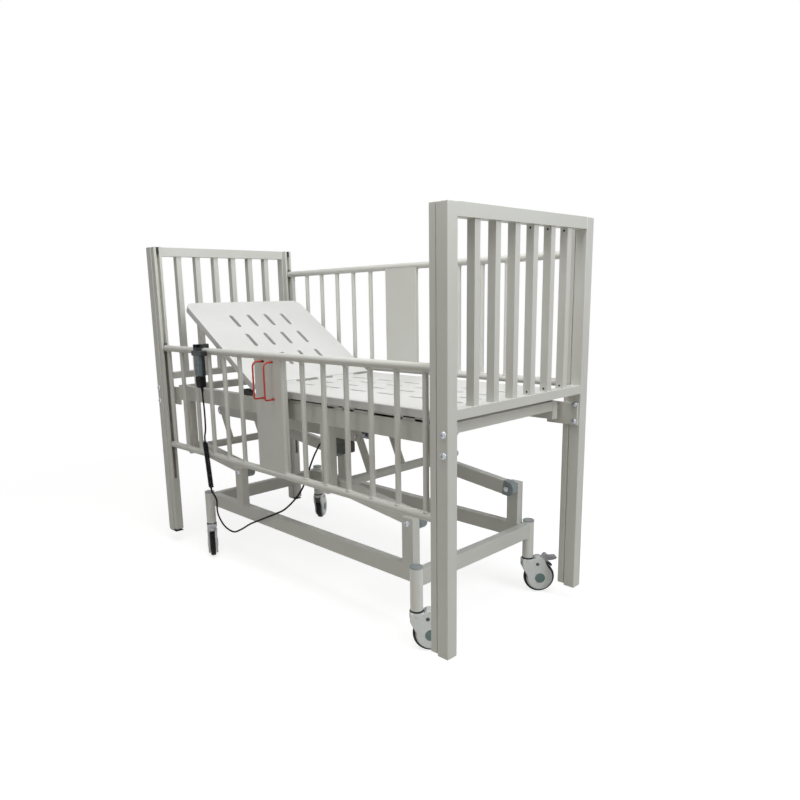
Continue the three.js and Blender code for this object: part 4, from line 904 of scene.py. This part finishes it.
def lift_frame(end):
    node = f"lift_frame_{end}"
    low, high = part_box(node)
    foot_pivot, carry, top = (Vector(joints[j]["pos_m"]) for j in ("lift", "deck_carry", "sync_carry"))
    pivot = Vector(joints["lift" if end == "foot" else "lift_head_swing"]["pos_m"])
    shift = pivot.x - foot_pivot.x
    lower = (pivot.x, pivot.z)
    upper = (carry.x + shift, carry.z)
    tip = (top.x + shift, top.z)
    arm_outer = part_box("base_rail_far")[0].y - ARM_GAP
    arm_inner = arm_outer - ARM_THICK
    deck_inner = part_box("deck_side_far")[0].y
    along = (Vector(lower) - Vector(upper)).normalized()
    across = Vector((-along.y, along.x))
    angle = math.degrees(math.atan2(along.y, along.x))

    shapes = [rod((upper[0], -arm_outer, upper[1]), (upper[0], arm_outer, upper[1]), TORSION_RADIUS, 32)]
    caps = []
    ends = []
    for sign in (-1, 1):
        bar = arc(upper, ARM_RADIUS, angle + 90, angle + 270, 18)
        tail = Vector(lower) - along * 14 * MM
        bar += [tuple(tail - across * ARM_RADIUS), tuple(tail + across * ARM_RADIUS)]
        shapes.append(side_plate(bar, sign * arm_inner, sign * arm_outer, 2.6 * MM))
        cap_from = Vector(lower) - along * 17 * MM
        size = ARM_RADIUS + 0.8 * MM
        cap = [tuple(cap_from - across * size)] + arc(lower, size, angle - 90, angle + 90, 18)
        cap.append(tuple(cap_from + across * size))
        caps.append(side_plate(cap, sign * (arm_inner - 0.9 * MM), sign * (arm_outer + 0.9 * MM), 2.2 * MM))
        lever = capsule(upper, tip, LEVER_RADIUS, 14)
        inner = LEVER_Y - LEVER_THICK / 2
        shapes.append(side_plate(lever, sign * inner, sign * (inner + LEVER_THICK), 1 * MM))
        root = (upper[0], sign * (arm_outer - 5 * MM), upper[1])
        shapes.append(rod(root, (upper[0], sign * (deck_inner - 0.5 * MM), upper[1]), TORSION_RADIUS, 32))
        ends.append(rod(root, (upper[0], sign * high.y, upper[1]), JOURNAL_RADIUS, 28))
        washer = [(0, 0), (15 * MM, 0), (15 * MM, 1.6 * MM), (14.4 * MM, 2 * MM), (0, 2 * MM)]
        ends.append(lathe(washer, (upper[0], sign * (high.y - 0.6 * MM), upper[1]), (0, sign, 0), 36))
        bolt = moved(
            plate(hexagon((0, 0), 8 * MM), 5 * MM, 0.7 * MM),
            Matrix.Translation((upper[0], sign * (high.y + 1.2 * MM), upper[1])) @ turned((0, sign, 0)),
        )
        ends.append(bolt)
    pin_end = LEVER_Y + LEVER_THICK / 2 + 10.6 * MM
    ends.append(rod((tip[0], -pin_end, tip[1]), (tip[0], pin_end, tip[1]), PIN_RADIUS, 24, 1 * MM))
    body = body_of[node]
    piece(f"lift_{end}_frame", shapes, IVORY, body, [node])
    piece(f"lift_{end}_arm_caps", caps, GREY, body)
    piece(f"lift_{end}_pins", ends, ZINC, body)


def pivot_bolt(side, end):
    """A domed bolt with a hexagon socket outside the upright, and its nut inside the arm."""
    node = f"pivot_bolt_{side}_{end}"
    low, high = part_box(node)
    sign = 1 if side == "far" else -1
    outer, inner = (high.y, low.y) if side == "far" else (low.y, high.y)
    centre = (low + high) / 2
    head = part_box(f"base_rail_{side}")[1 if side == "far" else 0].y
    crown = abs(outer - head)
    profile = [
        (0, 0), (10 * MM, 0), (10 * MM, 1 * MM), (9.4 * MM, 1.5 * MM), (9.0 * MM, 1.7 * MM), (8.4 * MM, crown * 0.6),
        (6.8 * MM, crown * 0.86), (4.6 * MM, crown), (3.6 * MM, crown), (3.4 * MM, crown - 2.4 * MM),
        (0, crown - 2.6 * MM),
    ]
    shapes = [lathe(profile, (centre.x, head, centre.z), (0, sign, 0), 32)]
    shapes.append(rod((centre.x, head, centre.z), (centre.x, inner, centre.z), 5.6 * MM, 20))
    nut = plate(hexagon((0, 0), 9.5 * MM), 6.4 * MM, 0.8 * MM)
    seat = inner + sign * 1 * MM
    shapes.append(moved(nut, Matrix.Translation((centre.x, seat, centre.z)) @ turned((0, sign, 0))))
    piece(node + "_domed", shapes, ZINC, body_of[node], [node])


for end in ("head", "foot"):
    lift_frame(end)
    for side in ("near", "far"):
        pivot_bolt(side, end)


# Actuators and control box
ACTUATOR_RADIUS = 20 * MM
CROSSING_FROM_HINGE = 90 * MM


def actuator(node, open_end):
    low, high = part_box(node)
    y = (low.y + high.y) / 2
    z = low.z + ACTUATOR_RADIUS
    length = high.x - low.x
    r = ACTUATOR_RADIUS
    profile = [
        (0, 0), (r - 4 * MM, 0), (r - 1.5 * MM, 1.2 * MM), (r, 4 * MM), (r, 34 * MM), (r - 0.8 * MM, 35 * MM),
        (r - 2.4 * MM, 36 * MM), (r - 2.4 * MM, length - 27 * MM), (r - 0.8 * MM, length - 26 * MM),
        (r, length - 25 * MM), (r, length - 6 * MM), (r - 3 * MM, length - 1 * MM), (r - 6 * MM, length),
        (10.6 * MM, length), (10.6 * MM, length - 8 * MM), (0, length - 8 * MM),
    ]
    start, axis = ((low.x, y, z), (1, 0, 0)) if open_end == "foot" else ((high.x, y, z), (-1, 0, 0))
    shapes = [lathe(profile, start, axis, 36)]
    crossing_x = joints["backrest_tilt"]["pos_m"][0] + CROSSING_FROM_HINGE
    cross_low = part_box("deck_cross_foot")[0].z
    hanger = crossing_x - 12 * MM
    shapes.append(block((hanger, y - 10 * MM, z), (hanger + 24 * MM, y + 10 * MM, cross_low - 0.3 * MM), 1.6 * MM))
    for side in (-1, 1):
        bolt = [(0, 0), (5.5 * MM, 0), (5.5 * MM, 2.4 * MM), (4.6 * MM, 3.2 * MM), (0, 3.2 * MM)]
        shapes.append(lathe(bolt, (crossing_x, y + side * 10 * MM, cross_low - 16 * MM), (0, side, 0), 20))
    piece(f"{node}_housing", shapes, SLATE, "deck", [node])


actuator("lift_actuator_body", "foot")
actuator("backrest_actuator_body", "head")


def control_box():
    low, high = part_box("control_box")
    seam = low.z + 0.62 * (high.z - low.z)
    shapes = [
        block(low, (high.x, high.y, seam - 0.5 * MM), 5 * MM, 4),
        block((low.x, low.y, seam + 0.5 * MM), high, 5 * MM, 4),
        block(low + Vector((1.5, 1.5, 6)) * MM, high - Vector((1.5, 1.5, 6)) * MM, 4 * MM),
    ]
    for i in range(5):
        x = low.x + (13 + 11 * i) * MM
        shapes.append(block((x, low.y - 1 * MM, low.z + 9 * MM), (x + 4 * MM, low.y + 3 * MM, seam - 8 * MM), 0.8 * MM))
    piece("control_box_case", shapes, SLATE, "deck", ["control_box"])
    screws = []
    for x in (low.x + 9 * MM, high.x - 9 * MM):
        for y in (low.y + 9 * MM, high.y - 9 * MM):
            head = [(0, 0), (3.4 * MM, 0), (3.4 * MM, 0.7 * MM), (2.4 * MM, 1.3 * MM), (1.2 * MM, 0.6 * MM), (0, 0.6 * MM)]
            screws.append(lathe(head, (x, y, low.z), (0, 0, -1), 20))
    piece("control_box_screws", screws, ZINC, "deck")


control_box()


# Mattress deck: pressed trays with rows of slots
SHEET = 3 * MM
LIP = 23 * MM
SLOT_LENGTH = 80 * MM
SLOT_WIDTH = 15 * MM
SLOT_WALL = 1.5 * MM
SLOT_DEPTH = 12 * MM
SLOT_ROW_PITCH = 127 * MM
SLOT_COLUMN_PITCH = 80 * MM
SLOT_COLUMNS = 4
BACK_SLOT_MARGIN = 133 * MM
BACK_LENGTH = 530 * MM
BACK_CORNER = 34 * MM
BACK_INSET = 7 * MM
BACK_ANGLE = math.radians(32.6)
HINGE_GAP = 14 * MM
PACKING_INSET = 14 * MM
PACKING_HALF = 12 * MM
SIDE_TUBE_Y = 253 * MM
PACKING_GAPS = ((43, 223), (262, 300), (350, 408), (545, 588))
LEDGE_HEIGHT = 7 * MM
NOTCH_HALF = 22 * MM
NOTCH_LEFT = 12 * MM


def slot_row(x):
    slots = []
    half = (SLOT_LENGTH - SLOT_WIDTH) / 2
    for i in range(SLOT_COLUMNS):
        y = (i - (SLOT_COLUMNS - 1) / 2) * SLOT_COLUMN_PITCH
        slots.append(capsule((x - half, y), (x + half, y), SLOT_WIDTH / 2, 8))
    return slots


def inset(outline, distance):
    """A convex outline, anticlockwise, moved inwards."""
    result = []
    for before, point, after in zip(outline[-1:] + outline[:-1], outline, outline[1:] + outline[:1]):
        a, b, c = Vector(before), Vector(point), Vector(after)
        first, second = (b - a).normalized(), (c - b).normalized()
        normal = Vector((-first.y - second.y, first.x + second.x)).normalized()
        lean = max(0.3, normal.dot(Vector((-first.y, first.x))))
        result.append(tuple(b + normal * distance / lean))
    return result


def tray(outline, top, slots, notch=None):
    """A sheet with slots and a turned-down lip with a rolled edge, notched in the outline's closing side."""
    sheet = moved(plate(outline, 4.6 * MM, 2.2 * MM, slots), Matrix.Translation((0, 0, top - 4.6 * MM)))
    inner = inset(outline, SHEET)
    shapes = [sheet]
    if notch is None:
        wall = plate(outline, LIP - 1.5 * MM, 1.2 * MM, [inner])
    else:
        x, y0, y1 = outline[0][0], notch - NOTCH_HALF, notch + NOTCH_HALF
        ring = [(x, y0), *outline, (x, y1), (x + SHEET, y1), *inner[::-1], (x + SHEET, y0)]
        wall = plate(ring, LIP - 1.5 * MM, 1.2 * MM)
        bridge = (x, y0 - SHEET, top - NOTCH_LEFT), (x + SHEET, y1 + SHEET, top - 1.5 * MM)
        shapes.append(block(*bridge, 0.6 * MM))
    shapes.append(moved(wall, Matrix.Translation((0, 0, top - LIP))))
    for slot in slots:
        drawn = plate(inset(slot, -SLOT_WALL), SLOT_DEPTH, 0.4 * MM, [slot])
        shapes.append(moved(drawn, Matrix.Translation((0, 0, top - 1.5 * MM - SLOT_DEPTH))))
    return shapes


def seat():
    low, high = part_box("seat_panel")
    top = high.z
    outline = rounded(rectangle(low.x, high.x, low.y, high.y), 9 * MM, 5)
    rows = int((high.x - low.x - 20 * MM) / SLOT_ROW_PITCH)
    first = (low.x + high.x) / 2 - (rows - 1) * SLOT_ROW_PITCH / 2
    slots = [s for row in range(rows) for s in slot_row(first + row * SLOT_ROW_PITCH)]
    notch = middle("backrest_actuator_rod").y
    piece("seat_tray", tray(outline, top, slots, notch), DECK, "deck", ["seat_panel"])
    edges = [low.x + PACKING_INSET, *[x * MM for gap in PACKING_GAPS for x in gap], high.x - PACKING_INSET]
    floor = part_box("deck_cross_foot")[1].z
    ledges = []
    shade_strips = []
    for side in ("near", "far"):
        y = SIDE_TUBE_Y if side == "far" else -SIDE_TUBE_Y
        wide, slim = PACKING_HALF, PACKING_HALF - 4 * MM
        ledges.append(block((edges[0], y - wide, floor), (edges[-1], y + wide, floor + LEDGE_HEIGHT), 1 * MM))
        shade_strips.append(block((edges[0], y - slim, floor), (edges[-1], y + slim, low.z), 1 * MM))
        for x0, x1 in zip(edges[::2], edges[1::2]):
            ledges.append(block((x0, y - wide, floor), (x1, y + wide, low.z), 1 * MM))
    piece("seat_ledges", ledges, IVORY, "deck")
    # The strip's dark rubber, seen in the gaps between the ledges, is painted shade of those gaps
    piece("seat_packing_painted_shade", shade_strips, BUFFER, "deck")


def backrest():
    hinge = Vector(joints["backrest_tilt"]["pos_m"])
    seat_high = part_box("seat_panel")[1]
    top = seat_high.z
    root, end = hinge.x - HINGE_GAP, hinge.x - BACK_LENGTH
    half = seat_high.y - BACK_INSET
    outline = [(root, -half), (root, half)]
    outline += arc((end + BACK_CORNER, half - BACK_CORNER), BACK_CORNER, 90, 180, 12)
    outline += arc((end + BACK_CORNER, -half + BACK_CORNER), BACK_CORNER, 180, 270, 12)
    slots = [s for row in range(3) for s in slot_row(end + BACK_SLOT_MARGIN + row * SLOT_ROW_PITCH)]
    raised = Matrix.Translation(hinge) @ Matrix.Rotation(BACK_ANGLE, 4, "Y") @ Matrix.Translation(-hinge)
    shapes = tray(outline, top, slots)
    lever_y = middle("backrest_actuator_rod").y
    barrels = [(-190, -84), (84, 190), (lever_y / MM - 20, lever_y / MM + 20)]
    for y0, y1 in barrels:
        shapes.append(rod((hinge.x, y0 * MM, hinge.z), (hinge.x, y1 * MM, hinge.z), 10 * MM, 28, 1 * MM))
        shapes.append(block((root - 2 * MM, y0 * MM, hinge.z + 1 * MM), (hinge.x, y1 * MM, hinge.z + 9 * MM), 0.8 * MM))
    lever_length = 110 * MM
    tip = (hinge.x + lever_length * math.sin(BACK_ANGLE), hinge.z - lever_length * math.cos(BACK_ANGLE))
    lever = capsule((hinge.x, hinge.z), tip, 9 * MM, 12)
    for y0, y1 in ((-18, -10), (10, 18)):
        shapes.append(side_plate(lever, lever_y + y0 * MM, lever_y + y1 * MM, 1 * MM))
    shapes.append(rod((tip[0], lever_y - 18 * MM, tip[1]), (tip[0], lever_y + 18 * MM, tip[1]), 5 * MM, 24))
    piece("backrest_tray", shapes, DECK, "backrest", ["backrest_panel"], raised)


seat()
backrest()


# Rubber buffers under the backrest
for side in ("near", "far"):
    low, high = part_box(f"buffer_{side}")
    centre = (low + high) / 2
    reach, rise = (high.x - low.x) / 2, high.z - low.z
    arch = [(centre.x + reach * math.cos(math.pi * i / 28), low.z + rise * math.sin(math.pi * i / 28)) for i in range(29)]
    piece(f"buffer_{side}_block", [side_plate(arch, low.y, high.y, 2 * MM)], BUFFER, "deck", [f"buffer_{side}"])


# Handset: dark shell with a lighter face, black grip, a flange and a hook over the rail's top tube
HANDSET_HEIGHT = 117 * MM
HANDSET_THICK = 23 * MM
HANDSET_HALF = 20 * MM
GRIP_HALF = 17 * MM
GRIP_HEIGHT = 40 * MM
FLANGE_HEIGHT = 15 * MM
FLANGE_PROUD = 1.5 * MM
HOOK_HALF = 11 * MM
HOOK_SHIFT = 12 * MM
HOOK_LEG = 5 * MM
HOOK_TOP = 13 * MM


def handset():
    low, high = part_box("handset_body")
    x = (low.x + high.x) / 2
    front = low.y + FLANGE_PROUD
    back = front + HANDSET_THICK
    bottom, top = low.z, low.z + HANDSET_HEIGHT
    grip_top = bottom + GRIP_HEIGHT
    seam = front + 0.42 * HANDSET_THICK
    side = [
        (GRIP_HALF - 6 * MM, bottom), (GRIP_HALF - 1 * MM, bottom + 6 * MM), (GRIP_HALF, grip_top),
        (HANDSET_HALF, grip_top + 6 * MM), (HANDSET_HALF, top),
    ]
    outline = rounded([(x + a, b) for a, b in side] + [(x - a, b) for a, b in reversed(side)], 4 * MM, 4)
    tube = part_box("guard_rail_near")[1].z - GUIDE_HALF_HEIGHT
    hook = x - HOOK_SHIFT
    hook_front = front + 1 * MM
    shapes = [
        side_plate(outline, seam, back, 3 * MM),
        block((low.x, low.y, top - 3 * MM), (high.x, back, top + FLANGE_HEIGHT), 2.4 * MM),
        block((hook - HOOK_HALF, hook_front, top), (hook + HOOK_HALF, back, high.z), 2.6 * MM),
        block((hook - HOOK_HALF, hook_front, high.z - HOOK_TOP), (hook + HOOK_HALF, high.y, high.z), 2.6 * MM),
        block((hook - HOOK_HALF, high.y - HOOK_LEG, tube - HOOK_TOP), (hook + HOOK_HALF, high.y, high.z), 2 * MM),
    ]
    piece("handset_shell", shapes, DARK, "rail_near", ["handset_body"])

    holes = []
    for number in (1, 2, 3, 4):
        centre = middle(f"handset_button_{number}")
        size = 6.5 * MM
        hole = rectangle(centre.x - size, centre.x + size, centre.z - size, centre.z + size)
        holes.append(rounded(hole, 1.5 * MM, 3))
    half = HANDSET_HALF
    face = rounded(rectangle(x - half, x + half, grip_top + 2 * MM, top - 1 * MM), 4 * MM, 5)
    rim = rounded(rectangle(x - half + 2.5 * MM, x + half - 2.5 * MM, grip_top + 5 * MM, top - 4 * MM), 3 * MM, 5)
    shapes = [
        side_plate(face, front, seam + 0.4 * MM, 2.6 * MM, holes),
        side_plate(rim, front - 0.5 * MM, front + 2 * MM, 0.4 * MM, holes),
    ]
    piece("handset_face", shapes, FACE, "rail_near")
    band = [(GRIP_HALF - 6 * MM, bottom), (GRIP_HALF, bottom + 6 * MM), (GRIP_HALF + 0.6 * MM, grip_top)]
    band = [(x + a, b) for a, b in band] + [(x - a, b) for a, b in reversed(band)]
    grip = [side_plate(rounded(band, 3 * MM, 4), front - 0.4 * MM, back + 0.4 * MM, 3.2 * MM)]
    for i in range(4):
        z = bottom + (12 + 6 * i) * MM
        grip.append(rod((x - 11 * MM, front - 0.2 * MM, z), (x + 11 * MM, front - 0.2 * MM, z), 1 * MM, 12, 0.4 * MM))
    piece("handset_grip", grip, CORD, "rail_near")


handset()


# End posts: a square tube and a guide strip beside it, then bolts, foot caps and slat screws
POST_MAIN = 34 * MM
POST_STOUTER = 1.5 * MM
STRIP_STOUTER = 2.8 * MM
STRIP_HALF = {"head": 15.4 * MM, "foot": 18 * MM}
STRIP_GROOVE = 1.6 * MM
NECK_HALF = 13 * MM
STRIP_LIFT = 6 * MM
POST_BOLT_HEIGHTS = (640 * MM, 588 * MM)
POST_BOLT_INSET = 12 * MM
CHANNEL_DEPTH = 15 * MM
CHANNEL_HALF = 6 * MM
CHANNEL_BOTTOM = 268 * MM
LINER = 0.25 * MM
SHADE_PLUG_HEIGHT = 22 * MM


def post(side, end):
    low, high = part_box(f"post_{side}_{end}")
    inward = -1 if end == "foot" else 1
    outside, mouth = (high.x, low.x) if end == "foot" else (low.x, high.x)
    outside, joint, mouth = outside - inward * POST_STOUTER, outside + inward * POST_MAIN, mouth + inward * STRIP_STOUTER
    back = mouth - inward * (CHANNEL_DEPTH + STRIP_STOUTER)
    y = (low.y + high.y) / 2
    half = (high.y - low.y) / 2 + POST_STOUTER
    foot = low.z + STRIP_LIFT
    root = joint + inward * STRIP_GROOVE
    spans = [
        (outside, joint, -half, half, low.z, high.z, 2 * MM),
        (root, mouth, -STRIP_HALF[end], -CHANNEL_HALF, foot, high.z, 1.2 * MM),
        (root, mouth, CHANNEL_HALF, STRIP_HALF[end], foot, high.z, 1.2 * MM),
        (joint - inward * STRIP_GROOVE, back, -NECK_HALF, NECK_HALF, foot, high.z, 0.4 * MM),
        (root, mouth - inward * 0.4 * MM, -CHANNEL_HALF - 1 * MM, CHANNEL_HALF + 1 * MM, foot, CHANNEL_BOTTOM, 0.4 * MM),
    ]
    shapes = []
    for x0, x1, y0, y1, z0, z1, edge in spans:
        shapes.append(block((min(x0, x1), y + y0, z0), (max(x0, x1), y + y1, z1), edge))
    piece(f"post_{side}_{end}_tube", shapes, IVORY, "deck", [f"post_{side}_{end}"])


def post_hardware(side, end):
    low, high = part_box(f"post_{side}_{end}")
    sign = -1 if side == "near" else 1
    outer = (low.y if side == "near" else high.y) + sign * POST_STOUTER
    inner = high.y if side == "near" else low.y
    x = high.x - POST_BOLT_INSET if end == "foot" else low.x + POST_BOLT_INSET
    heads = []
    for z in POST_BOLT_HEIGHTS:
        dome = [
            (0, 0), (10 * MM, 0), (10 * MM, 0.8 * MM), (9.2 * MM, 1.2 * MM), (8.6 * MM, 3 * MM), (7 * MM, 4.4 * MM),
            (5 * MM, 5 * MM), (4.2 * MM, 5 * MM), (4 * MM, 2.4 * MM), (0, 2.2 * MM),
        ]
        heads.append(lathe(dome, (x, outer, z), (0, sign, 0), 36))
        plate_inner = inner - sign * 7.4 * MM
        nut = [
            (0, 0), (8.4 * MM, 0), (8.4 * MM, 5 * MM), (7 * MM, 7 * MM), (4.4 * MM, 9 * MM), (0, 9.8 * MM),
        ]
        heads.append(lathe(nut, (x, plate_inner, z), (0, -sign, 0), 24))
    piece(f"post_{side}_{end}_bolts", heads, ZINC, "deck")
    inward = -1 if end == "foot" else 1
    mouth = (low.x if end == "foot" else high.x) + inward * STRIP_STOUTER
    y = (low.y + high.y) / 2
    back = mouth - inward * (CHANNEL_DEPTH + STRIP_STOUTER)
    top = high.z - 1 * MM
    spans = [(back, back + inward * LINER, y - CHANNEL_HALF, y + CHANNEL_HALF)]
    for wall in (-1, 1):
        spans.append((back, mouth - inward * 1 * MM, y + wall * CHANNEL_HALF, y + wall * (CHANNEL_HALF - LINER)))
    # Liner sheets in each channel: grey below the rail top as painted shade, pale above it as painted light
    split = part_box("guard_rail_near")[1].z
    for name, look, z0, z1 in (("liner", LINER_PAINTED_SHADE, CHANNEL_BOTTOM, split), ("lining", LINING_PAINTED_LIGHT, split, top)):
        sheets = []
        for x0, x1, y0, y1 in spans:
            corner, opposite = (min(x0, x1), min(y0, y1), z0), (max(x0, x1), max(y0, y1), z1)
            sheets.append(block(corner, opposite, 0.05 * MM, 1))
        piece(f"post_{side}_{end}_{name}", sheets, look, "deck")
    # A black block at the top of each channel: painted shade of the channel's inside
    painted_shade_plug = sorted((back + inward * LINER, mouth - inward * 1 * MM))
    half = CHANNEL_HALF - LINER
    plug = block((painted_shade_plug[0], y - half, top - SHADE_PLUG_HEIGHT), (painted_shade_plug[1], y + half, top), 0.8 * MM)
    piece(f"post_{side}_{end}_stop", [plug], DARK, "deck")
    if end == "head":
        cap_low, cap_high = Vector((low.x, low.y, low.z - 4 * MM)), Vector((high.x, high.y, low.z))
        inset_by = Vector((1, 0.6, 0)) * MM
        piece(f"post_{side}_foot_cap", [block(cap_low + inset_by, cap_high - inset_by, 1.2 * MM)], DARK, "deck")


def slat_screws(end):
    low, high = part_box(f"grille_{end}")
    x = (low.x + high.x) / 2
    pitch = (high.y - low.y) / 7
    shapes = []
    for i in range(1, 7):
        y = low.y + i * pitch
        face = -1 if y > 0 else 1
        for z in (low.z + 25 * MM + 8 * MM, high.z - 33 * MM - 8 * MM):
            screw = [(0, 0), (3 * MM, 0), (3 * MM, 0.5 * MM), (2.2 * MM, 0.9 * MM), (1.2 * MM, 0.4 * MM), (0, 0.4 * MM)]
            shapes.append(lathe(screw, (x, y + face * 10.5 * MM, z), (0, face, 0), 16))
    piece(f"grille_{end}_screws", shapes, DARK, "deck")


for end in ("head", "foot"):
    slat_screws(end)
    for side in ("near", "far"):
        post(side, end)
        post_hardware(side, end)


# Stage: pale floor that fades to white, soft studio light
def make_stage():
    mesh = bpy.data.meshes.new("floor")
    reach = 40
    mesh.from_pydata([(-reach, -reach, 0), (reach, -reach, 0), (reach, reach, 0), (-reach, reach, 0)], [], [(0, 1, 2, 3)])
    floor = bpy.data.objects.new("floor", mesh)
    bpy.context.scene.collection.objects.link(floor)
    material = bpy.data.materials.new("floor")
    material.use_nodes = True
    nodes, links = material.node_tree.nodes, material.node_tree.links
    nodes.clear()
    output = nodes.new("ShaderNodeOutputMaterial")
    matt = nodes.new("ShaderNodeBsdfDiffuse")
    matt.inputs["Color"].default_value = (0.46, 0.46, 0.46, 1)
    bounce = nodes.new("ShaderNodeBsdfDiffuse")
    bounce.inputs["Color"].default_value = (0.42, 0.395, 0.35, 1)
    lift = nodes.new("ShaderNodeEmission")
    lift.inputs["Color"].default_value = (1, 1, 1, 1)
    lift.inputs["Strength"].default_value = 0.80
    white = nodes.new("ShaderNodeEmission")
    white.inputs["Color"].default_value = (1, 1, 1, 1)
    white.inputs["Strength"].default_value = 1.0
    both = nodes.new("ShaderNodeAddShader")
    links.new(matt.outputs[0], both.inputs[0])
    links.new(lift.outputs[0], both.inputs[1])
    place = nodes.new("ShaderNodeTexCoord")
    length = nodes.new("ShaderNodeVectorMath")
    length.operation = "LENGTH"
    links.new(place.outputs["Object"], length.inputs[0])
    fade = nodes.new("ShaderNodeMapRange")
    fade.inputs["From Min"].default_value = 1.2
    fade.inputs["From Max"].default_value = 2.6
    links.new(length.outputs["Value"], fade.inputs["Value"])
    shown = nodes.new("ShaderNodeMixShader")
    links.new(fade.outputs["Result"], shown.inputs[0])
    links.new(both.outputs[0], shown.inputs[1])
    links.new(white.outputs[0], shown.inputs[2])
    path = nodes.new("ShaderNodeLightPath")
    seen = nodes.new("ShaderNodeMath")
    seen.operation = "MAXIMUM"
    links.new(path.outputs["Is Camera Ray"], seen.inputs[0])
    links.new(path.outputs["Is Glossy Ray"], seen.inputs[1])
    either = nodes.new("ShaderNodeMath")
    either.operation = "MAXIMUM"
    links.new(seen.outputs[0], either.inputs[0])
    links.new(path.outputs["Is Transmission Ray"], either.inputs[1])
    final = nodes.new("ShaderNodeMixShader")
    links.new(either.outputs[0], final.inputs[0])
    links.new(bounce.outputs[0], final.inputs[1])
    links.new(shown.outputs[0], final.inputs[2])
    links.new(final.outputs[0], output.inputs["Surface"])
    mesh.materials.append(material)

    world = bpy.data.worlds.new("studio")
    bpy.context.scene.world = world
    world.use_nodes = True
    nodes, links = world.node_tree.nodes, world.node_tree.links
    nodes.clear()
    output = nodes.new("ShaderNodeOutputWorld")
    soft = nodes.new("ShaderNodeBackground")
    soft.inputs["Color"].default_value = (1.0, 0.99, 0.96, 1)
    soft.inputs["Strength"].default_value = 0.20
    white = nodes.new("ShaderNodeBackground")
    white.inputs["Color"].default_value = (1, 1, 1, 1)
    white.inputs["Strength"].default_value = 1.0
    path = nodes.new("ShaderNodeLightPath")
    seen = nodes.new("ShaderNodeMath")
    seen.operation = "MAXIMUM"
    links.new(path.outputs["Is Camera Ray"], seen.inputs[0])
    links.new(path.outputs["Is Glossy Ray"], seen.inputs[1])
    either = nodes.new("ShaderNodeMath")
    either.operation = "MAXIMUM"
    links.new(seen.outputs[0], either.inputs[0])
    links.new(path.outputs["Is Transmission Ray"], either.inputs[1])
    mix = nodes.new("ShaderNodeMixShader")
    links.new(either.outputs[0], mix.inputs[0])
    links.new(soft.outputs[0], mix.inputs[1])
    links.new(white.outputs[0], mix.inputs[2])
    links.new(mix.outputs[0], output.inputs["Surface"])


def area_light(name, place, target, size, power, colour):
    data = bpy.data.lights.new(name, "AREA")
    data.shape = "DISK"
    data.size = size
    data.energy = power
    data.color = colour
    light = bpy.data.objects.new(name, data)
    light.location = place
    light.rotation_mode = "QUATERNION"
    light.rotation_quaternion = (Vector(target) - Vector(place)).to_track_quat("-Z", "Y")
    bpy.context.scene.collection.objects.link(light)


make_stage()
area_light("key", (3.6, 0.2, 2.4), (0.1, 0, 0.6), 2.0, 51, (0.94, 0.97, 1.0))
area_light("fill", (0.45, -2.2, 0.6), (0.25, 0, 0.4), 1.2, 2.8, (1.0, 0.99, 0.96))
area_light("inner", (0.9, -0.35, 2.0), (0.45, 0.33, 0.6), 0.9, 6.5, (1.0, 0.99, 0.96))
area_light("top", (0.5, -0.6, 3.5), (0.1, 0.1, 0.6), 2.0, 44, (1.0, 0.995, 0.985))
bpy.context.scene.view_settings.view_transform = "Standard"
